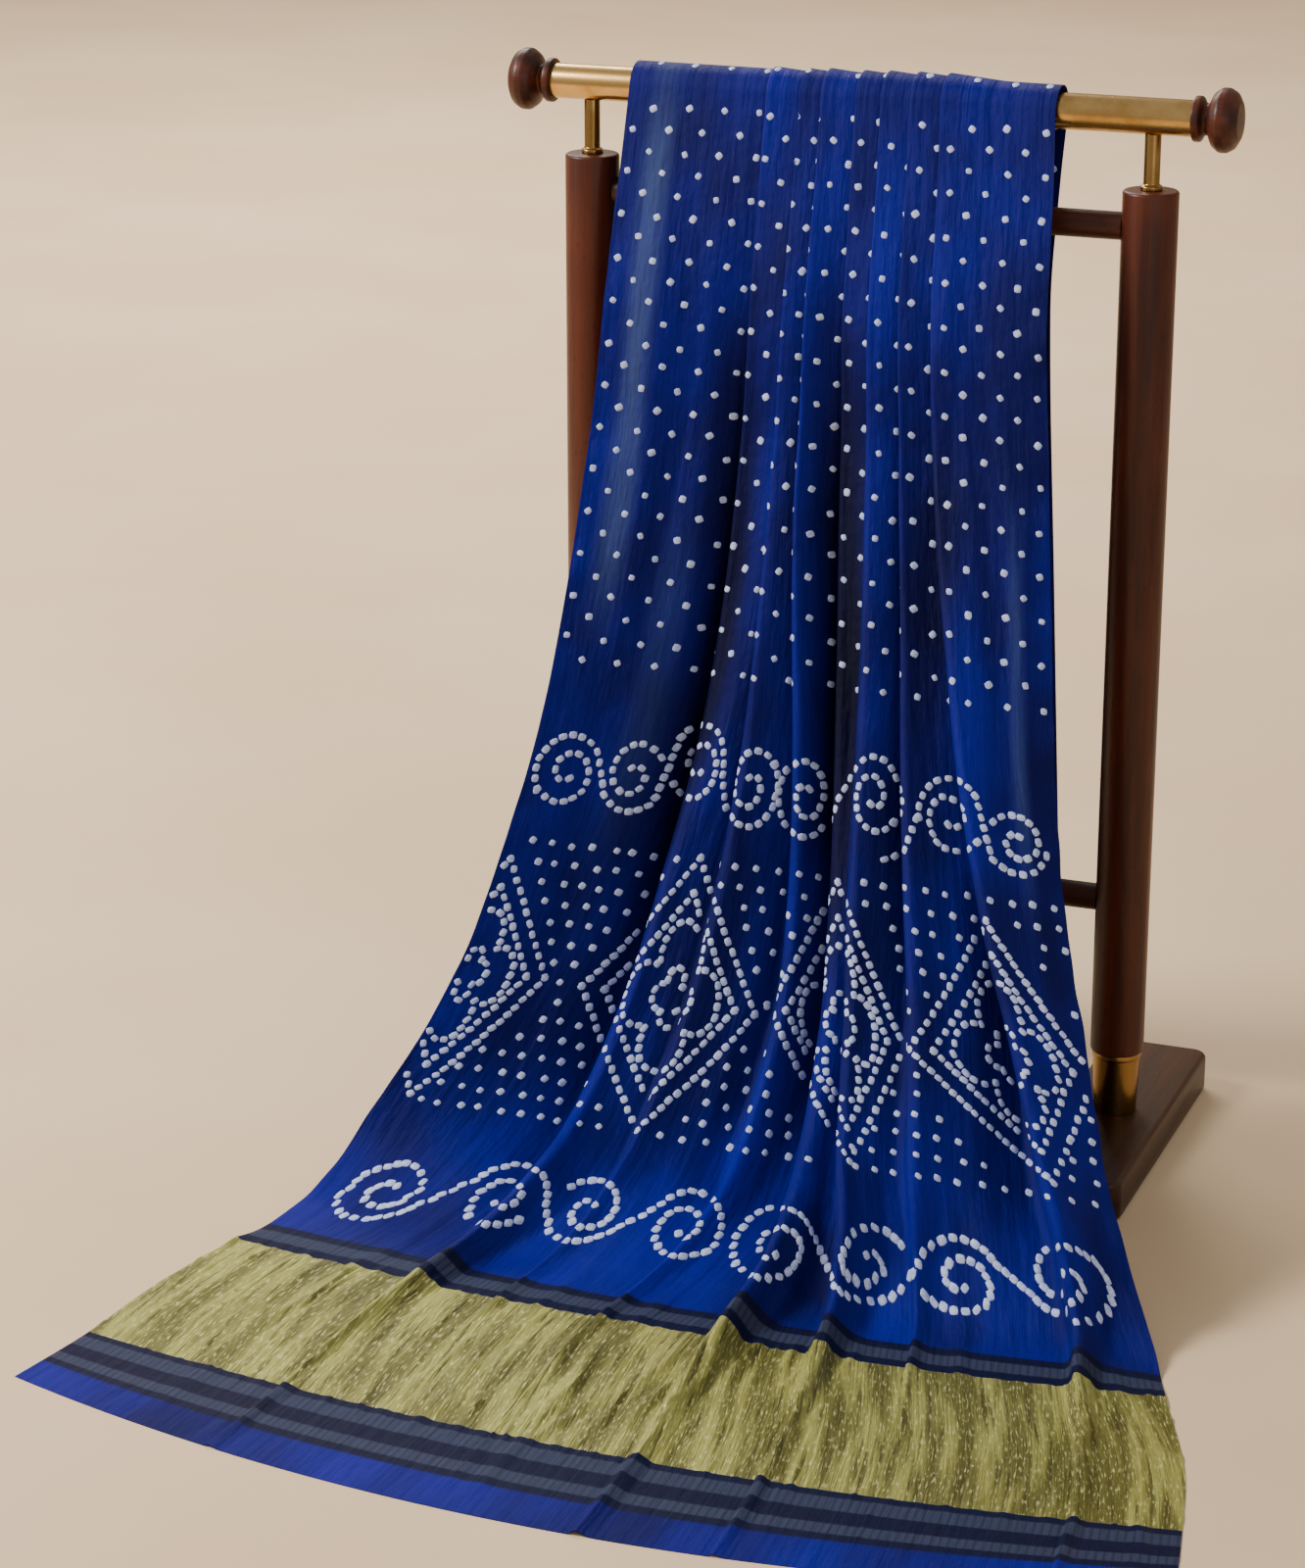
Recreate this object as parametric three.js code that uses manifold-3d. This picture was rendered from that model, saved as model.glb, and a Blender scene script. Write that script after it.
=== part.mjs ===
// Printed saree draped over a low wooden display stand, in millimetres, +Z up.
// The cloth hangs over a brass rail: a short plain fall behind, a long pleated fall in front,
// and the patterned end of the cloth swept forward and spread out over the floor.
// The sizes below are measured from the floor under the middle of the rail. The origin of the whole
// object is on the floor under the middle of its box.
import * as THREE from "three";
import { mergeVertices } from "three/addons/utils/BufferGeometryUtils.js";
import Module from "manifold-3d";

const wasm = await Module();
wasm.setup();

// Driving dimensions of the stand
const railHeight = 1073.2; // centre of the brass rail above the floor
const railRadius = 17.6;
const railHalfLength = 330;
const postSpacing = 580;
const postRadius = 27.5;
const postTop = 1002;
const postChamfer = 3;
const footLength = 380;
const footWidth = 109;
const footThickness = 42;
const footCorner = 16;
const footEdge = 5;
const ferruleHeight = 66.5;
const ferruleTopRadius = 25.5;
const ferruleFootRadius = 22;
const pinRadius = 8;
const pinCollarRadius = 11;
const crossRailRadius = 13.7;
const crossRailHeights = [965.3, 272.7];
const jointGap = 0.3; // left between a coped end and the round piece that it meets

// Driving dimensions of the cloth
const clothWidth = 1110; // selvedge to selvedge, flat
const wall = 1; // thickness of every cloth solid
const seamGap = 0.3; // between neighbouring stretches of the cloth
const railClearance = 0.5; // between the cloth's inner face and the brass
const floorTouch = -540; // y where the front fall first lies on the floor
const backLean = 0.035; // slope of the back fall, away from the stand
const backLength = 950;
const stackedAngle = 0.09; // tilt of pleat layers that lie on each other
const lapRamp = 14; // length over which a panel turns from that tilt to its own
const rampShare = 0.25; // and the most of a narrow panel that this and the lap before it take up
const lapShare = 0.6;
const steepest = 0.95; // sine of the steepest fall after a low ridge
const bendShare = 0.9; // the most of a pleat's depth that the bend at each of its ends takes up
const meanShiftStart = 150; // below this length from the rail the folds hang free of the stand
const meanShiftEnd = 350;
const settleStart = 980; // from here on each panel comes down to the floor by itself
const settleEnd = 1260;
const floorPress = 1; // how far a settled panel is pressed down, so that it lies flat on the floor

// One row for each pleat: where its folded-under strip lies across the cloth, how deep it is at the
// rail, what share of that depth it has on the floor, and how far it drifts sideways down there
const pleats = [
  { across: 220, depth: 50, lasting: 1.1, drift: 8 },
  { across: 340, depth: 40, lasting: 0.3, drift: -6 },
  { across: 451, depth: 46, lasting: 0.4, drift: 4 },
  { across: 600, depth: 60, lasting: 1.5, drift: -4 },
  { across: 716, depth: 40, lasting: 1.6, drift: 6 },
  { across: 841, depth: 50, lasting: 0.4, drift: -8 },
  { across: 971, depth: 49, lasting: 1.2, drift: 36 },
];
const lastingStart = 350;
const lastingEnd = 1150;

// One row for each station down the front, by cloth length from the rail: the two edges of the
// cloth, how far each pleat turns back on itself in radians, the radius of its folds, how far the
// middle of the cloth runs ahead of its edges, and the share of its width that fine crinkles take up.
const frontStations = [
  { length: 0, left: -240, right: 199, turn: 3.14, fold: 0.8, ahead: 0, gather: 0 },
  { length: 110, left: -243, right: 207, turn: 3.13, fold: 1.3, ahead: 0, gather: 0 },
  { length: 210, left: -246, right: 212, turn: 3.1, fold: 2, ahead: 0, gather: 0 },
  { length: 345, left: -256, right: 223, turn: 3.04, fold: 3.4, ahead: 0, gather: 0 },
  { length: 510, left: -265, right: 244, turn: 2.94, fold: 5.5, ahead: 0, gather: 0 },
  { length: 650, left: -276, right: 265, turn: 2.82, fold: 7.5, ahead: 0, gather: 0 },
  { length: 780, left: -296, right: 294, turn: 2.64, fold: 9, ahead: 0, gather: 0 },
  { length: 900, left: -318, right: 332, turn: 2.42, fold: 10, ahead: 6, gather: 0 },
  { length: 1040, left: -359, right: 379, turn: 2.05, fold: 11, ahead: 18, gather: 0.01 },
  { length: 1140, left: -398, right: 424, turn: 1.7, fold: 11, ahead: 28, gather: 0.05 },
  { length: 1200, left: -432, right: 456, turn: 1.45, fold: 11, ahead: 34, gather: 0.08 },
  { length: 1270, left: -462, right: 484, turn: 1.25, fold: 10, ahead: 38, gather: 0.1 },
  { length: 1390, left: -488, right: 530, turn: 1.05, fold: 10, ahead: 42, gather: 0.068 },
  { length: 1500, left: -499, right: 555, turn: 0.95, fold: 10, ahead: 52, gather: 0.04 },
  { length: 1600, left: -518, right: 574, turn: 0.85, fold: 10, ahead: 88, gather: 0.01 },
];

// The same for the back fall, by cloth length below the rail
const backStations = [
  { length: 0, left: -240, right: 199, turn: 3.14, fold: 0.8, ahead: 0, gather: 0 },
  { length: 90, left: -242, right: 188, turn: 3.13, fold: 1.3, ahead: 0, gather: 0 },
  { length: 210, left: -244, right: 179, turn: 3.12, fold: 2, ahead: 0, gather: 0 },
  { length: 500, left: -250, right: 181, turn: 3.06, fold: 4, ahead: 0, gather: 0 },
  { length: 950, left: -256, right: 190, turn: 2.95, fold: 6, ahead: 0, gather: 0 },
];

// Long soft hollows that run down the front fall, with all its layers: how wide each is, and where
// it lies across the stand and how deep it is, by cloth length from the rail
const hollows = [
  {
    width: 27,
    stations: [
      { length: 70, across: -95, depth: 0 },
      { length: 240, across: -102, depth: 9 },
      { length: 440, across: -108, depth: 19 },
      { length: 660, across: -137, depth: 22 },
      { length: 860, across: -174, depth: 13 },
      { length: 1040, across: -204, depth: 6 },
      { length: 1180, across: -230, depth: 0 },
    ],
  },
  {
    width: 28,
    stations: [
      { length: 70, across: 8, depth: 0 },
      { length: 240, across: 0, depth: 10 },
      { length: 440, across: 14, depth: 22 },
      { length: 660, across: 38, depth: 24 },
      { length: 860, across: 46, depth: 11 },
      { length: 1040, across: 38, depth: 4 },
      { length: 1180, across: 30, depth: 0 },
    ],
  },
  {
    width: 44,
    stations: [
      { length: 90, across: 96, depth: 0 },
      { length: 300, across: 104, depth: 8 },
      { length: 520, across: 118, depth: 14 },
      { length: 760, across: 150, depth: 7 },
      { length: 960, across: 186, depth: 0 },
    ],
  },
];

// Where the cloth's stretches begin and end down the front
const bodyEnd = 640;
const palluEnd = 1262;
const zariEnd = 1495;
const clothEnd = 1600;

// A smooth value of one column of a station table at a given length
function along(stations, column, length) {
  const last = stations.length - 1;
  let i = 0;
  while (i < last - 1 && length > stations[i + 1].length) i++;
  const a = stations[i];
  const b = stations[i + 1];
  const step = b.length - a.length;
  const slope = (p, q) => {
    const rise = stations[q][column] - stations[p][column];
    return rise / (stations[q].length - stations[p].length);
  };
  const before = slope(Math.max(i - 1, 0), i + 1);
  const after = slope(i, Math.min(i + 2, last));
  const t = Math.min(Math.max((length - a.length) / step, 0), 1);
  const t2 = t * t;
  const t3 = t2 * t;
  return (
    (2 * t3 - 3 * t2 + 1) * a[column] +
    (t3 - 2 * t2 + t) * step * before +
    (3 * t2 - 2 * t3) * b[column] +
    (t3 - t2) * step * after
  );
}

function smoothStep(from, to, value) {
  const t = Math.min(Math.max((value - from) / (to - from), 0), 1);
  return t * t * (3 - 2 * t);
}

// The root of a falling function between two bounds
function solveFalling(f, low, high) {
  for (let i = 0; i < 50; i++) {
    const middle = (low + high) / 2;
    if (f(middle) > 0) low = middle;
    else high = middle;
  }
  return (low + high) / 2;
}

// The cloth's centre line seen from the side: round the rail, down a hanging curve, along the floor
const wrapRadius = railRadius + railClearance + wall / 2;

function hangingCurve() {
  let angle = 0.15;
  let scale = 200;
  let top = null;
  for (let i = 0; i < 60; i++) {
    top = {
      y: -wrapRadius * Math.cos(angle),
      z: railHeight + wrapRadius * Math.sin(angle) - wall / 2,
    };
    const reach = top.y - floorTouch;
    scale = solveFalling((a) => a * (Math.cosh(reach / a) - 1) - top.z, 60, 900);
    angle = Math.atan(1 / Math.sinh(reach / scale));
  }
  return { angle, scale, length: scale * Math.sinh((top.y - floorTouch) / scale) };
}

const hang = hangingCurve();
const wrapEnd = Math.PI - backLean;
const wrapLength = wrapRadius * (wrapEnd - hang.angle);

function frontPath(length) {
  const left = hang.length - length;
  if (left <= 0) {
    return { y: floorTouch + left, z: wall / 2, normalY: 0, normalZ: 1 };
  }
  const u = Math.asinh(left / hang.scale);
  const slope = Math.atan(Math.sinh(u));
  return {
    y: floorTouch + hang.scale * u,
    z: wall / 2 + hang.scale * (Math.cosh(u) - 1),
    normalY: -Math.sin(slope),
    normalZ: Math.cos(slope),
  };
}

function railPath(length) {
  const angle = hang.angle + length / wrapRadius;
  return {
    y: -wrapRadius * Math.cos(angle),
    z: railHeight + wrapRadius * Math.sin(angle),
    normalY: -Math.cos(angle),
    normalZ: Math.sin(angle),
  };
}

function backPath(length) {
  const start = railPath(wrapLength);
  return {
    y: start.y + length * Math.sin(backLean),
    z: start.z - length * Math.cos(backLean),
    normalY: Math.cos(backLean),
    normalZ: Math.sin(backLean),
  };
}

// The cloth's line across its width at one station, as knots of slope angle by cloth width.
// Between knots the angle changes evenly, so each stretch is straight or an arc.
// A settled line lies flat between low ridges, as it does on the floor, and is no longer stacked.
function foldLine({ turn, fold, lasting, settled }, grow, tilt, flatTilt) {
  const strips = pleats.map((pleat) => {
    const depth = pleat.depth * grow * (1 + (pleat.lasting - 1) * lasting);
    const across = pleat.across + pleat.drift * lasting;
    const bend = Math.min(fold * turn, depth * bendShare);
    return { depth, bend, start: across - (depth + bend) / 2, end: across + (depth + bend) / 2 };
  });
  const free = -flatTilt;
  const lapped = -tilt;
  const knots = [];
  const panel = (before, after) => {
    const from = before ? before.end : 0;
    const to = after ? after.start : clothWidth;
    const width = to - from;
    const ramp = Math.min(lapRamp, width * rampShare);
    const lapLeft = before ? Math.min(before.depth, width * lapShare) : 0;
    const lapRight = after ? after.depth : 0;
    const roomy = width > lapLeft + lapRight + 2 * ramp;
    let start = free;
    if (before) {
      const rise = before.depth * Math.sin(turn);
      start = lapped - Math.asin(Math.min(rise / (lapLeft + ramp / 2), steepest)) * settled;
    }
    knots.push({ at: from, angle: start });
    if (before) {
      knots.push({ at: from + lapLeft, angle: start });
      knots.push({ at: from + lapLeft + ramp, angle: roomy ? free : lapped });
    }
    if (after && roomy) {
      knots.push({ at: to - lapRight - ramp, angle: free });
      knots.push({ at: to - lapRight, angle: lapped });
    }
    knots.push({ at: to, angle: after ? lapped : free });
  };
  strips.forEach((strip, i) => {
    panel(strips[i - 1], strip);
    knots.push({ at: strip.start + strip.bend, angle: turn - tilt });
    knots.push({ at: strip.end - strip.bend, angle: turn - tilt });
  });
  panel(strips[strips.length - 1], null);
  return { knots, strips };
}

// Where the line has got to, across and outwards, at each knot
function walk(line) {
  let across = 0;
  let out = 0;
  line.places = line.knots.map((knot, i) => {
    if (i) {
      const step = stretch(line.knots[i - 1], knot, knot.at);
      across += step.across;
      out += step.out;
    }
    return { across, out };
  });
  return line;
}

function stretch(from, to, at) {
  const whole = to.at - from.at;
  const length = at - from.at;
  if (whole < 1e-9) return { across: 0, out: 0, angle: from.angle };
  const angle = from.angle + ((to.angle - from.angle) * length) / whole;
  const turned = angle - from.angle;
  if (Math.abs(turned) < 1e-7) {
    return { across: Math.cos(angle) * length, out: Math.sin(angle) * length, angle };
  }
  const rate = turned / length;
  return {
    across: (Math.sin(angle) - Math.sin(from.angle)) / rate,
    out: (Math.cos(from.angle) - Math.cos(angle)) / rate,
    angle,
  };
}

function ends(line) {
  return walk(line).places[line.places.length - 1];
}

// The pleated line whose ends are level and as far apart as the cloth's two edges. Where the cloth
// is crinkled, the line is laid out wider and then drawn together.
function section(stations, length, onStand) {
  const row = {};
  ["left", "right", "turn", "fold", "ahead", "gather"].forEach((column) => {
    row[column] = along(stations, column, length);
  });
  row.lasting = onStand ? 0 : smoothStep(lastingStart, lastingEnd, length);
  row.settled = onStand ? 0 : smoothStep(settleStart, settleEnd, length);
  const made = (grow) => {
    const even = solveFalling((t) => ends(foldLine(row, grow, t, t)).out, -0.5, 1.2);
    if (even >= stackedAngle || row.settled > 0) return foldLine(row, grow, even, even);
    const height = (tilt) => ends(foldLine(row, grow, stackedAngle, tilt)).out;
    return foldLine(row, grow, stackedAngle, solveFalling(height, -0.6, stackedAngle));
  };
  const span = row.right - row.left;
  const laidOut = span * (1 + row.gather);
  const grow = solveFalling((g) => ends(made(g)).across - laidOut, 0.02, 1.4);
  const line = walk(made(grow));
  const outs = line.places.map((p) => p.out);
  row.lowest = Math.min(...outs);
  row.mean = outs.reduce((sum, v) => sum + v, 0) / outs.length;
  row.line = line;
  row.stretchTo = span / line.places[line.places.length - 1].across;
  return row;
}

function onLine(row, at) {
  const { knots, places } = row.line;
  let i = 0;
  while (i < knots.length - 2 && at > knots[i + 1].at) i++;
  const step = stretch(knots[i], knots[i + 1], at);
  return {
    across: row.left + (places[i].across + step.across) * row.stretchTo,
    out: places[i].out + step.out,
    angle: step.angle,
  };
}

// How far the hollows set the front fall back at one place, and the slope of that across the cloth
function hollowAt(across, length) {
  let depth = 0;
  let slope = 0;
  hollows.forEach(({ width, stations }) => {
    const away = (across - along(stations, "across", length)) / width;
    const here = along(stations, "depth", length) * Math.exp(-away * away);
    depth += here;
    slope -= (2 * away * here) / width;
  });
  return { depth, slope };
}

// The widths at which a station is sampled: evenly round each fold and along each panel and strip
function columns(row, bendSteps, step) {
  const at = [0];
  const spread = (to, steps) => {
    const from = at[at.length - 1];
    for (let i = 1; i <= steps; i++) at.push(from + ((to - from) * i) / steps);
  };
  let before = 0;
  row.line.strips.forEach((strip, i) => {
    const { across, depth } = pleats[i];
    spread(strip.start, Math.ceil((across - depth - before) / step));
    spread(strip.start + strip.bend, bendSteps);
    spread(strip.end - strip.bend, Math.ceil(depth / 2 / step));
    spread(strip.end, bendSteps);
    before = across;
  });
  spread(clothWidth, Math.ceil((clothWidth - before) / step));
  return at;
}

// A stretch of cloth between two lengths, as a closed wall: an outer grid, an inner grid and a rim.
// On the rail and behind it the lowest layer lies against the stand; further down the front the
// folds swing both ways, and on the floor the panels press flat.
function clothSolid({ stations, path, from, to, rows, bendSteps, step, onStand, overRail }) {
  const outer = [];
  const inner = [];
  for (let r = 0; r <= rows; r++) {
    const length = from + ((to - from) * r) / rows;
    const row = section(stations, overRail ? 0 : length, onStand);
    const side = path(length);
    const hanging = onStand ? 0 : smoothStep(meanShiftStart, meanShiftEnd, length) * (1 - row.settled);
    const shift = row.lowest + (row.mean - row.lowest) * hanging + floorPress * row.settled;
    columns(row, bendSteps, step).forEach((at) => {
      const place = onLine(row, at);
      const hollow = onStand ? { depth: 0, slope: 0 } : hollowAt(place.across, length);
      const out = place.out - shift - hollow.depth;
      const middle = 1 - Math.pow((2 * at) / clothWidth - 1, 2);
      const x = place.across;
      const y = side.y + side.normalY * out - row.ahead * middle;
      const z = side.z + side.normalZ * out;
      const rise = Math.sin(place.angle) - hollow.slope * Math.cos(place.angle);
      const half = wall / 2 / Math.hypot(rise, Math.cos(place.angle));
      const dx = -rise * half;
      const dy = Math.cos(place.angle) * side.normalY * half;
      const dz = Math.cos(place.angle) * side.normalZ * half;
      outer.push([x + dx, y + dy, Math.max(z + dz, wall)]);
      inner.push([x - dx, y - dy, Math.max(z - dz, 0)]);
    });
  }
  return wallOf(outer, inner, rows + 1);
}

function wallOf(outer, inner, rowCount) {
  const wide = outer.length / rowCount;
  const positions = [...outer, ...inner].flat();
  const faces = [];
  const inside = outer.length;
  const quad = (a, b, c, d) => faces.push(a, b, c, a, c, d);
  for (let r = 0; r < rowCount - 1; r++) {
    for (let c = 0; c < wide - 1; c++) {
      const a = r * wide + c;
      quad(a, a + wide, a + wide + 1, a + 1);
      quad(inside + a, inside + a + 1, inside + a + wide + 1, inside + a + wide);
    }
  }
  const rim = [];
  for (let c = 0; c < wide - 1; c++) rim.push(c);
  for (let r = 0; r < rowCount - 1; r++) rim.push(r * wide + wide - 1);
  for (let c = wide - 1; c > 0; c--) rim.push((rowCount - 1) * wide + c);
  for (let r = rowCount - 1; r > 0; r--) rim.push(r * wide);
  rim.forEach((a, i) => {
    const b = rim[(i + 1) % rim.length];
    quad(a, b, inside + b, inside + a);
  });
  const geometry = new THREE.BufferGeometry();
  geometry.setAttribute("position", new THREE.Float32BufferAttribute(positions, 3));
  geometry.setIndex(faces);
  return facingOut(geometry);
}

// Turns every face round where the solid would be inside out
function facingOut(geometry) {
  const p = geometry.getAttribute("position");
  const index = geometry.index.array;
  const corner = (i) => new THREE.Vector3().fromBufferAttribute(p, index[i]);
  let volume = 0;
  for (let i = 0; i < index.length; i += 3) {
    volume += corner(i).dot(corner(i + 1).cross(corner(i + 2)));
  }
  if (volume < 0) {
    for (let i = 0; i < index.length; i += 3) [index[i + 1], index[i + 2]] = [index[i + 2], index[i + 1]];
  }
  return geometry;
}

// Solids for cutting
function solidOf(geometry) {
  const bare = geometry.clone();
  bare.deleteAttribute("normal");
  bare.deleteAttribute("uv");
  const merged = mergeVertices(bare, 1e-3);
  return new wasm.Manifold(
    new wasm.Mesh({
      numProp: 3,
      vertProperties: new Float32Array(merged.attributes.position.array),
      triVerts: new Uint32Array(merged.index.array),
    }),
  );
}

function geometryOf(solid) {
  const mesh = solid.getMesh();
  const geometry = new THREE.BufferGeometry();
  geometry.setAttribute("position", new THREE.Float32BufferAttribute(mesh.vertProperties, 3));
  geometry.setIndex(new THREE.Uint32BufferAttribute(mesh.triVerts, 1));
  return geometry;
}

// A turned piece standing on z = 0: its outline is radius and height pairs from the bottom up
function turned(outline, sides) {
  const points = [[0, outline[0][1]], ...outline, [0, outline[outline.length - 1][1]]];
  return new THREE.LatheGeometry(
    points.map(([r, z]) => new THREE.Vector2(r, z)),
    sides,
  ).rotateX(Math.PI / 2);
}

function alongX(geometry) {
  return geometry.rotateY(Math.PI / 2);
}

// Materials
function finish(name, color, roughness, metalness) {
  return new THREE.MeshStandardMaterial({ name, color, roughness, metalness });
}

const blueCloth = finish("blue_silk", 0x0e1f82, 0.55, 0);
const zariCloth = finish("gold_zari", 0x8f8a48, 0.4, 0.5);
const darkWood = finish("dark_wood", 0x4a2614, 0.45, 0);
const brass = finish("aged_brass", 0xa8824a, 0.3, 1);

const saree = new THREE.Group();
const stand = new THREE.Group();

function add(group, name, geometry, material) {
  const mesh = new THREE.Mesh(geometry, material);
  mesh.name = name;
  group.add(mesh);
  return mesh;
}

function buildCloth() {
  const gap = seamGap / 2;
  const plain = { bendSteps: 2, step: 70 };
  const front = { ...plain, step: 35, stations: frontStations, path: frontPath };
  const fine = { ...front, step: 22 };
  const over = { ...front, step: 70, path: railPath, onStand: true, overRail: true };
  const behind = { ...plain, stations: backStations, path: backPath, onStand: true };
  [
    { ...fine, name: "saree_body_front", from: gap, to: bodyEnd - gap, rows: 10 },
    { ...fine, name: "saree_pallu", from: bodyEnd + gap, to: palluEnd - gap, rows: 12, bendSteps: 3 },
    { ...front, name: "saree_zari_band", from: palluEnd + gap, to: zariEnd - gap, rows: 5 },
    { ...front, name: "saree_end_border", from: zariEnd + gap, to: clothEnd, rows: 3 },
    { ...over, name: "saree_over_rail", from: gap, to: wrapLength - gap, rows: 7 },
    { ...behind, name: "saree_back_fall", from: gap, to: backLength, rows: 6 },
  ].forEach((piece) => {
    const material = piece.name === "saree_zari_band" ? zariCloth : blueCloth;
    add(saree, piece.name, clothSolid(piece), material);
  });
}

function buildRail() {
  const rail = turned(
    [
      [railRadius, 0],
      [railRadius, 2 * railHalfLength],
    ],
    40,
  );
  add(stand, "brass_rail", alongX(rail), brass).position.set(-railHalfLength, 0, railHeight);
  const finial = [
    [22, 0],
    [22, 7],
    [16, 10],
    [15, 14],
    [26, 19],
    [31, 26],
    [31, 33],
    [27, 40],
    [18, 45],
  ];
  const right = alongX(turned(finial, 32));
  const left = alongX(turned(finial, 32)).rotateZ(Math.PI);
  add(stand, "finial_right", right, darkWood).position.set(railHalfLength, 0, railHeight);
  add(stand, "finial_left", left, darkWood).position.set(-railHalfLength, 0, railHeight);
}

// The upper end of a pin or the end of a cross rail is cut to the round piece that it meets
function coped(geometry, cutter) {
  return geometryOf(solidOf(geometry).subtract(solidOf(cutter)));
}

function buildPost(side, x) {
  const post = turned(
    [
      [postRadius - postChamfer, 0],
      [postRadius, postChamfer],
      [postRadius, postTop - footThickness - ferruleHeight - postChamfer],
      [postRadius - postChamfer, postTop - footThickness - ferruleHeight],
    ],
    32,
  );
  add(stand, "post_" + side, post, darkWood).position.set(x, 0, footThickness + ferruleHeight);
  const ferrule = turned(
    [
      [ferruleFootRadius, 0],
      [ferruleTopRadius - 1, ferruleHeight - 6],
      [ferruleTopRadius, ferruleHeight - 5],
      [ferruleTopRadius, ferruleHeight],
    ],
    32,
  );
  add(stand, "ferrule_" + side, ferrule, brass).position.set(x, 0, footThickness);
  const pin = turned(
    [
      [pinCollarRadius, 0],
      [pinCollarRadius, 4],
      [pinRadius, 6],
      [pinRadius, railHeight - postTop],
    ],
    20,
  ).translate(x, 0, postTop);
  const railCutter = alongX(
    turned(
      [
        [railRadius + jointGap, 0],
        [railRadius + jointGap, 4 * postRadius],
      ],
      40,
    ),
  ).translate(x - 2 * postRadius, 0, railHeight);
  add(stand, "pin_" + side, coped(pin, railCutter), brass);
}

function buildCrossRails() {
  const half = postSpacing / 2;
  const cutters = [-half, half].map((x) =>
    turned(
      [
        [postRadius + jointGap, 0],
        [postRadius + jointGap, railHeight],
      ],
      32,
    ).translate(x, 0, 0),
  );
  ["upper", "lower"].forEach((name, i) => {
    const dowel = alongX(
      turned(
        [
          [crossRailRadius, 0],
          [crossRailRadius, postSpacing],
        ],
        24,
      ),
    ).translate(-half, 0, crossRailHeights[i]);
    add(stand, "cross_rail_" + name, coped(coped(dowel, cutters[0]), cutters[1]), darkWood);
  });
}

function buildFoot(side, x) {
  const w = footWidth / 2 - footEdge;
  const l = footLength / 2 - footEdge;
  const r = footCorner - footEdge;
  const outline = new THREE.Shape();
  outline.moveTo(w - r, -l);
  outline.absarc(w - r, r - l, r, -Math.PI / 2, 0);
  outline.absarc(w - r, l - r, r, 0, Math.PI / 2);
  outline.absarc(r - w, l - r, r, Math.PI / 2, Math.PI);
  outline.absarc(r - w, r - l, r, Math.PI, 1.5 * Math.PI);
  const block = new THREE.ExtrudeGeometry(outline, {
    depth: footThickness - 2 * footEdge,
    bevelEnabled: true,
    bevelThickness: footEdge,
    bevelSize: footEdge,
    bevelSegments: 2,
    curveSegments: 4,
  }).translate(0, 0, footEdge);
  add(stand, "foot_" + side, block, darkWood).position.set(x, 0, 0);
}

buildCloth();
buildRail();
buildCrossRails();
[
  ["left", -postSpacing / 2],
  ["right", postSpacing / 2],
].forEach(([side, x]) => {
  buildPost(side, x);
  buildFoot(side, x);
});

const object = new THREE.Group();
object.add(saree, stand);
const middle = new THREE.Box3().setFromObject(object, true).getCenter(new THREE.Vector3());
[saree, stand].forEach((group) => group.position.set(-middle.x, -middle.y, 0));
export default object;
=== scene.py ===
import math
import random

import bmesh
import bpy
import numpy as np
from mathutils import Matrix, Vector


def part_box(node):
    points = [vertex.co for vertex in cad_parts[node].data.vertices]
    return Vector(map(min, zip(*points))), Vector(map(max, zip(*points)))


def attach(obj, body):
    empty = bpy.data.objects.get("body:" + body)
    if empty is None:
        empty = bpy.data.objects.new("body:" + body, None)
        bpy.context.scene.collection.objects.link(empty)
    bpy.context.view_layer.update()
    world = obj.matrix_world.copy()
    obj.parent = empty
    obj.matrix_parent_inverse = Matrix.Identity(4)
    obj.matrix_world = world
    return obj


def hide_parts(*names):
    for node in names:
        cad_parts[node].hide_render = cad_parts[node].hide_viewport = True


# A tie-dyed silk saree over a brass rail on a wooden stand. The cloth's form repeats the frame's
# sizes in millimetres and is sampled finely; every finished mesh is in metres.
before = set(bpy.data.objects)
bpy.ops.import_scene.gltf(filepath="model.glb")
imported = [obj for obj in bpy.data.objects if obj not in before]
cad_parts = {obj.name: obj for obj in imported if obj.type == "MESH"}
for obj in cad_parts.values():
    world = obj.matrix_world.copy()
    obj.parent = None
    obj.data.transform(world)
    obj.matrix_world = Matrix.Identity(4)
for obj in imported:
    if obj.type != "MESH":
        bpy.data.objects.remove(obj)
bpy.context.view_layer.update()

MM = 0.001
MERGED = 1e-6
TINY = 1e-9
rail_low, rail_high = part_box("brass_rail")
stand_place = Vector(((rail_low.x + rail_high.x) / 2, (rail_low.y + rail_high.y) / 2, 0))


# The photograph's view, in millimetres from the floor under the rail's middle

EYE = (1223.2, -3772.2, 1706.6)
EYE_TURN = math.radians(21)
EYE_FALL = math.radians(18.75)
LENS = 92.4
SENSOR_WIDTH = 36
VIEW_END = 60


def seen(places):
    """How places look in the photograph: across the view, up the view, and how far away."""
    away = np.asarray(places) - np.array(EYE)
    level = away[..., 1] * math.cos(EYE_TURN) - away[..., 0] * math.sin(EYE_TURN)
    right = away[..., 0] * math.cos(EYE_TURN) + away[..., 1] * math.sin(EYE_TURN)
    ahead = level * math.cos(EYE_FALL) - away[..., 2] * math.sin(EYE_FALL)
    up = level * math.sin(EYE_FALL) + away[..., 2] * math.cos(EYE_FALL)
    return right / ahead, up / ahead, ahead


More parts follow.
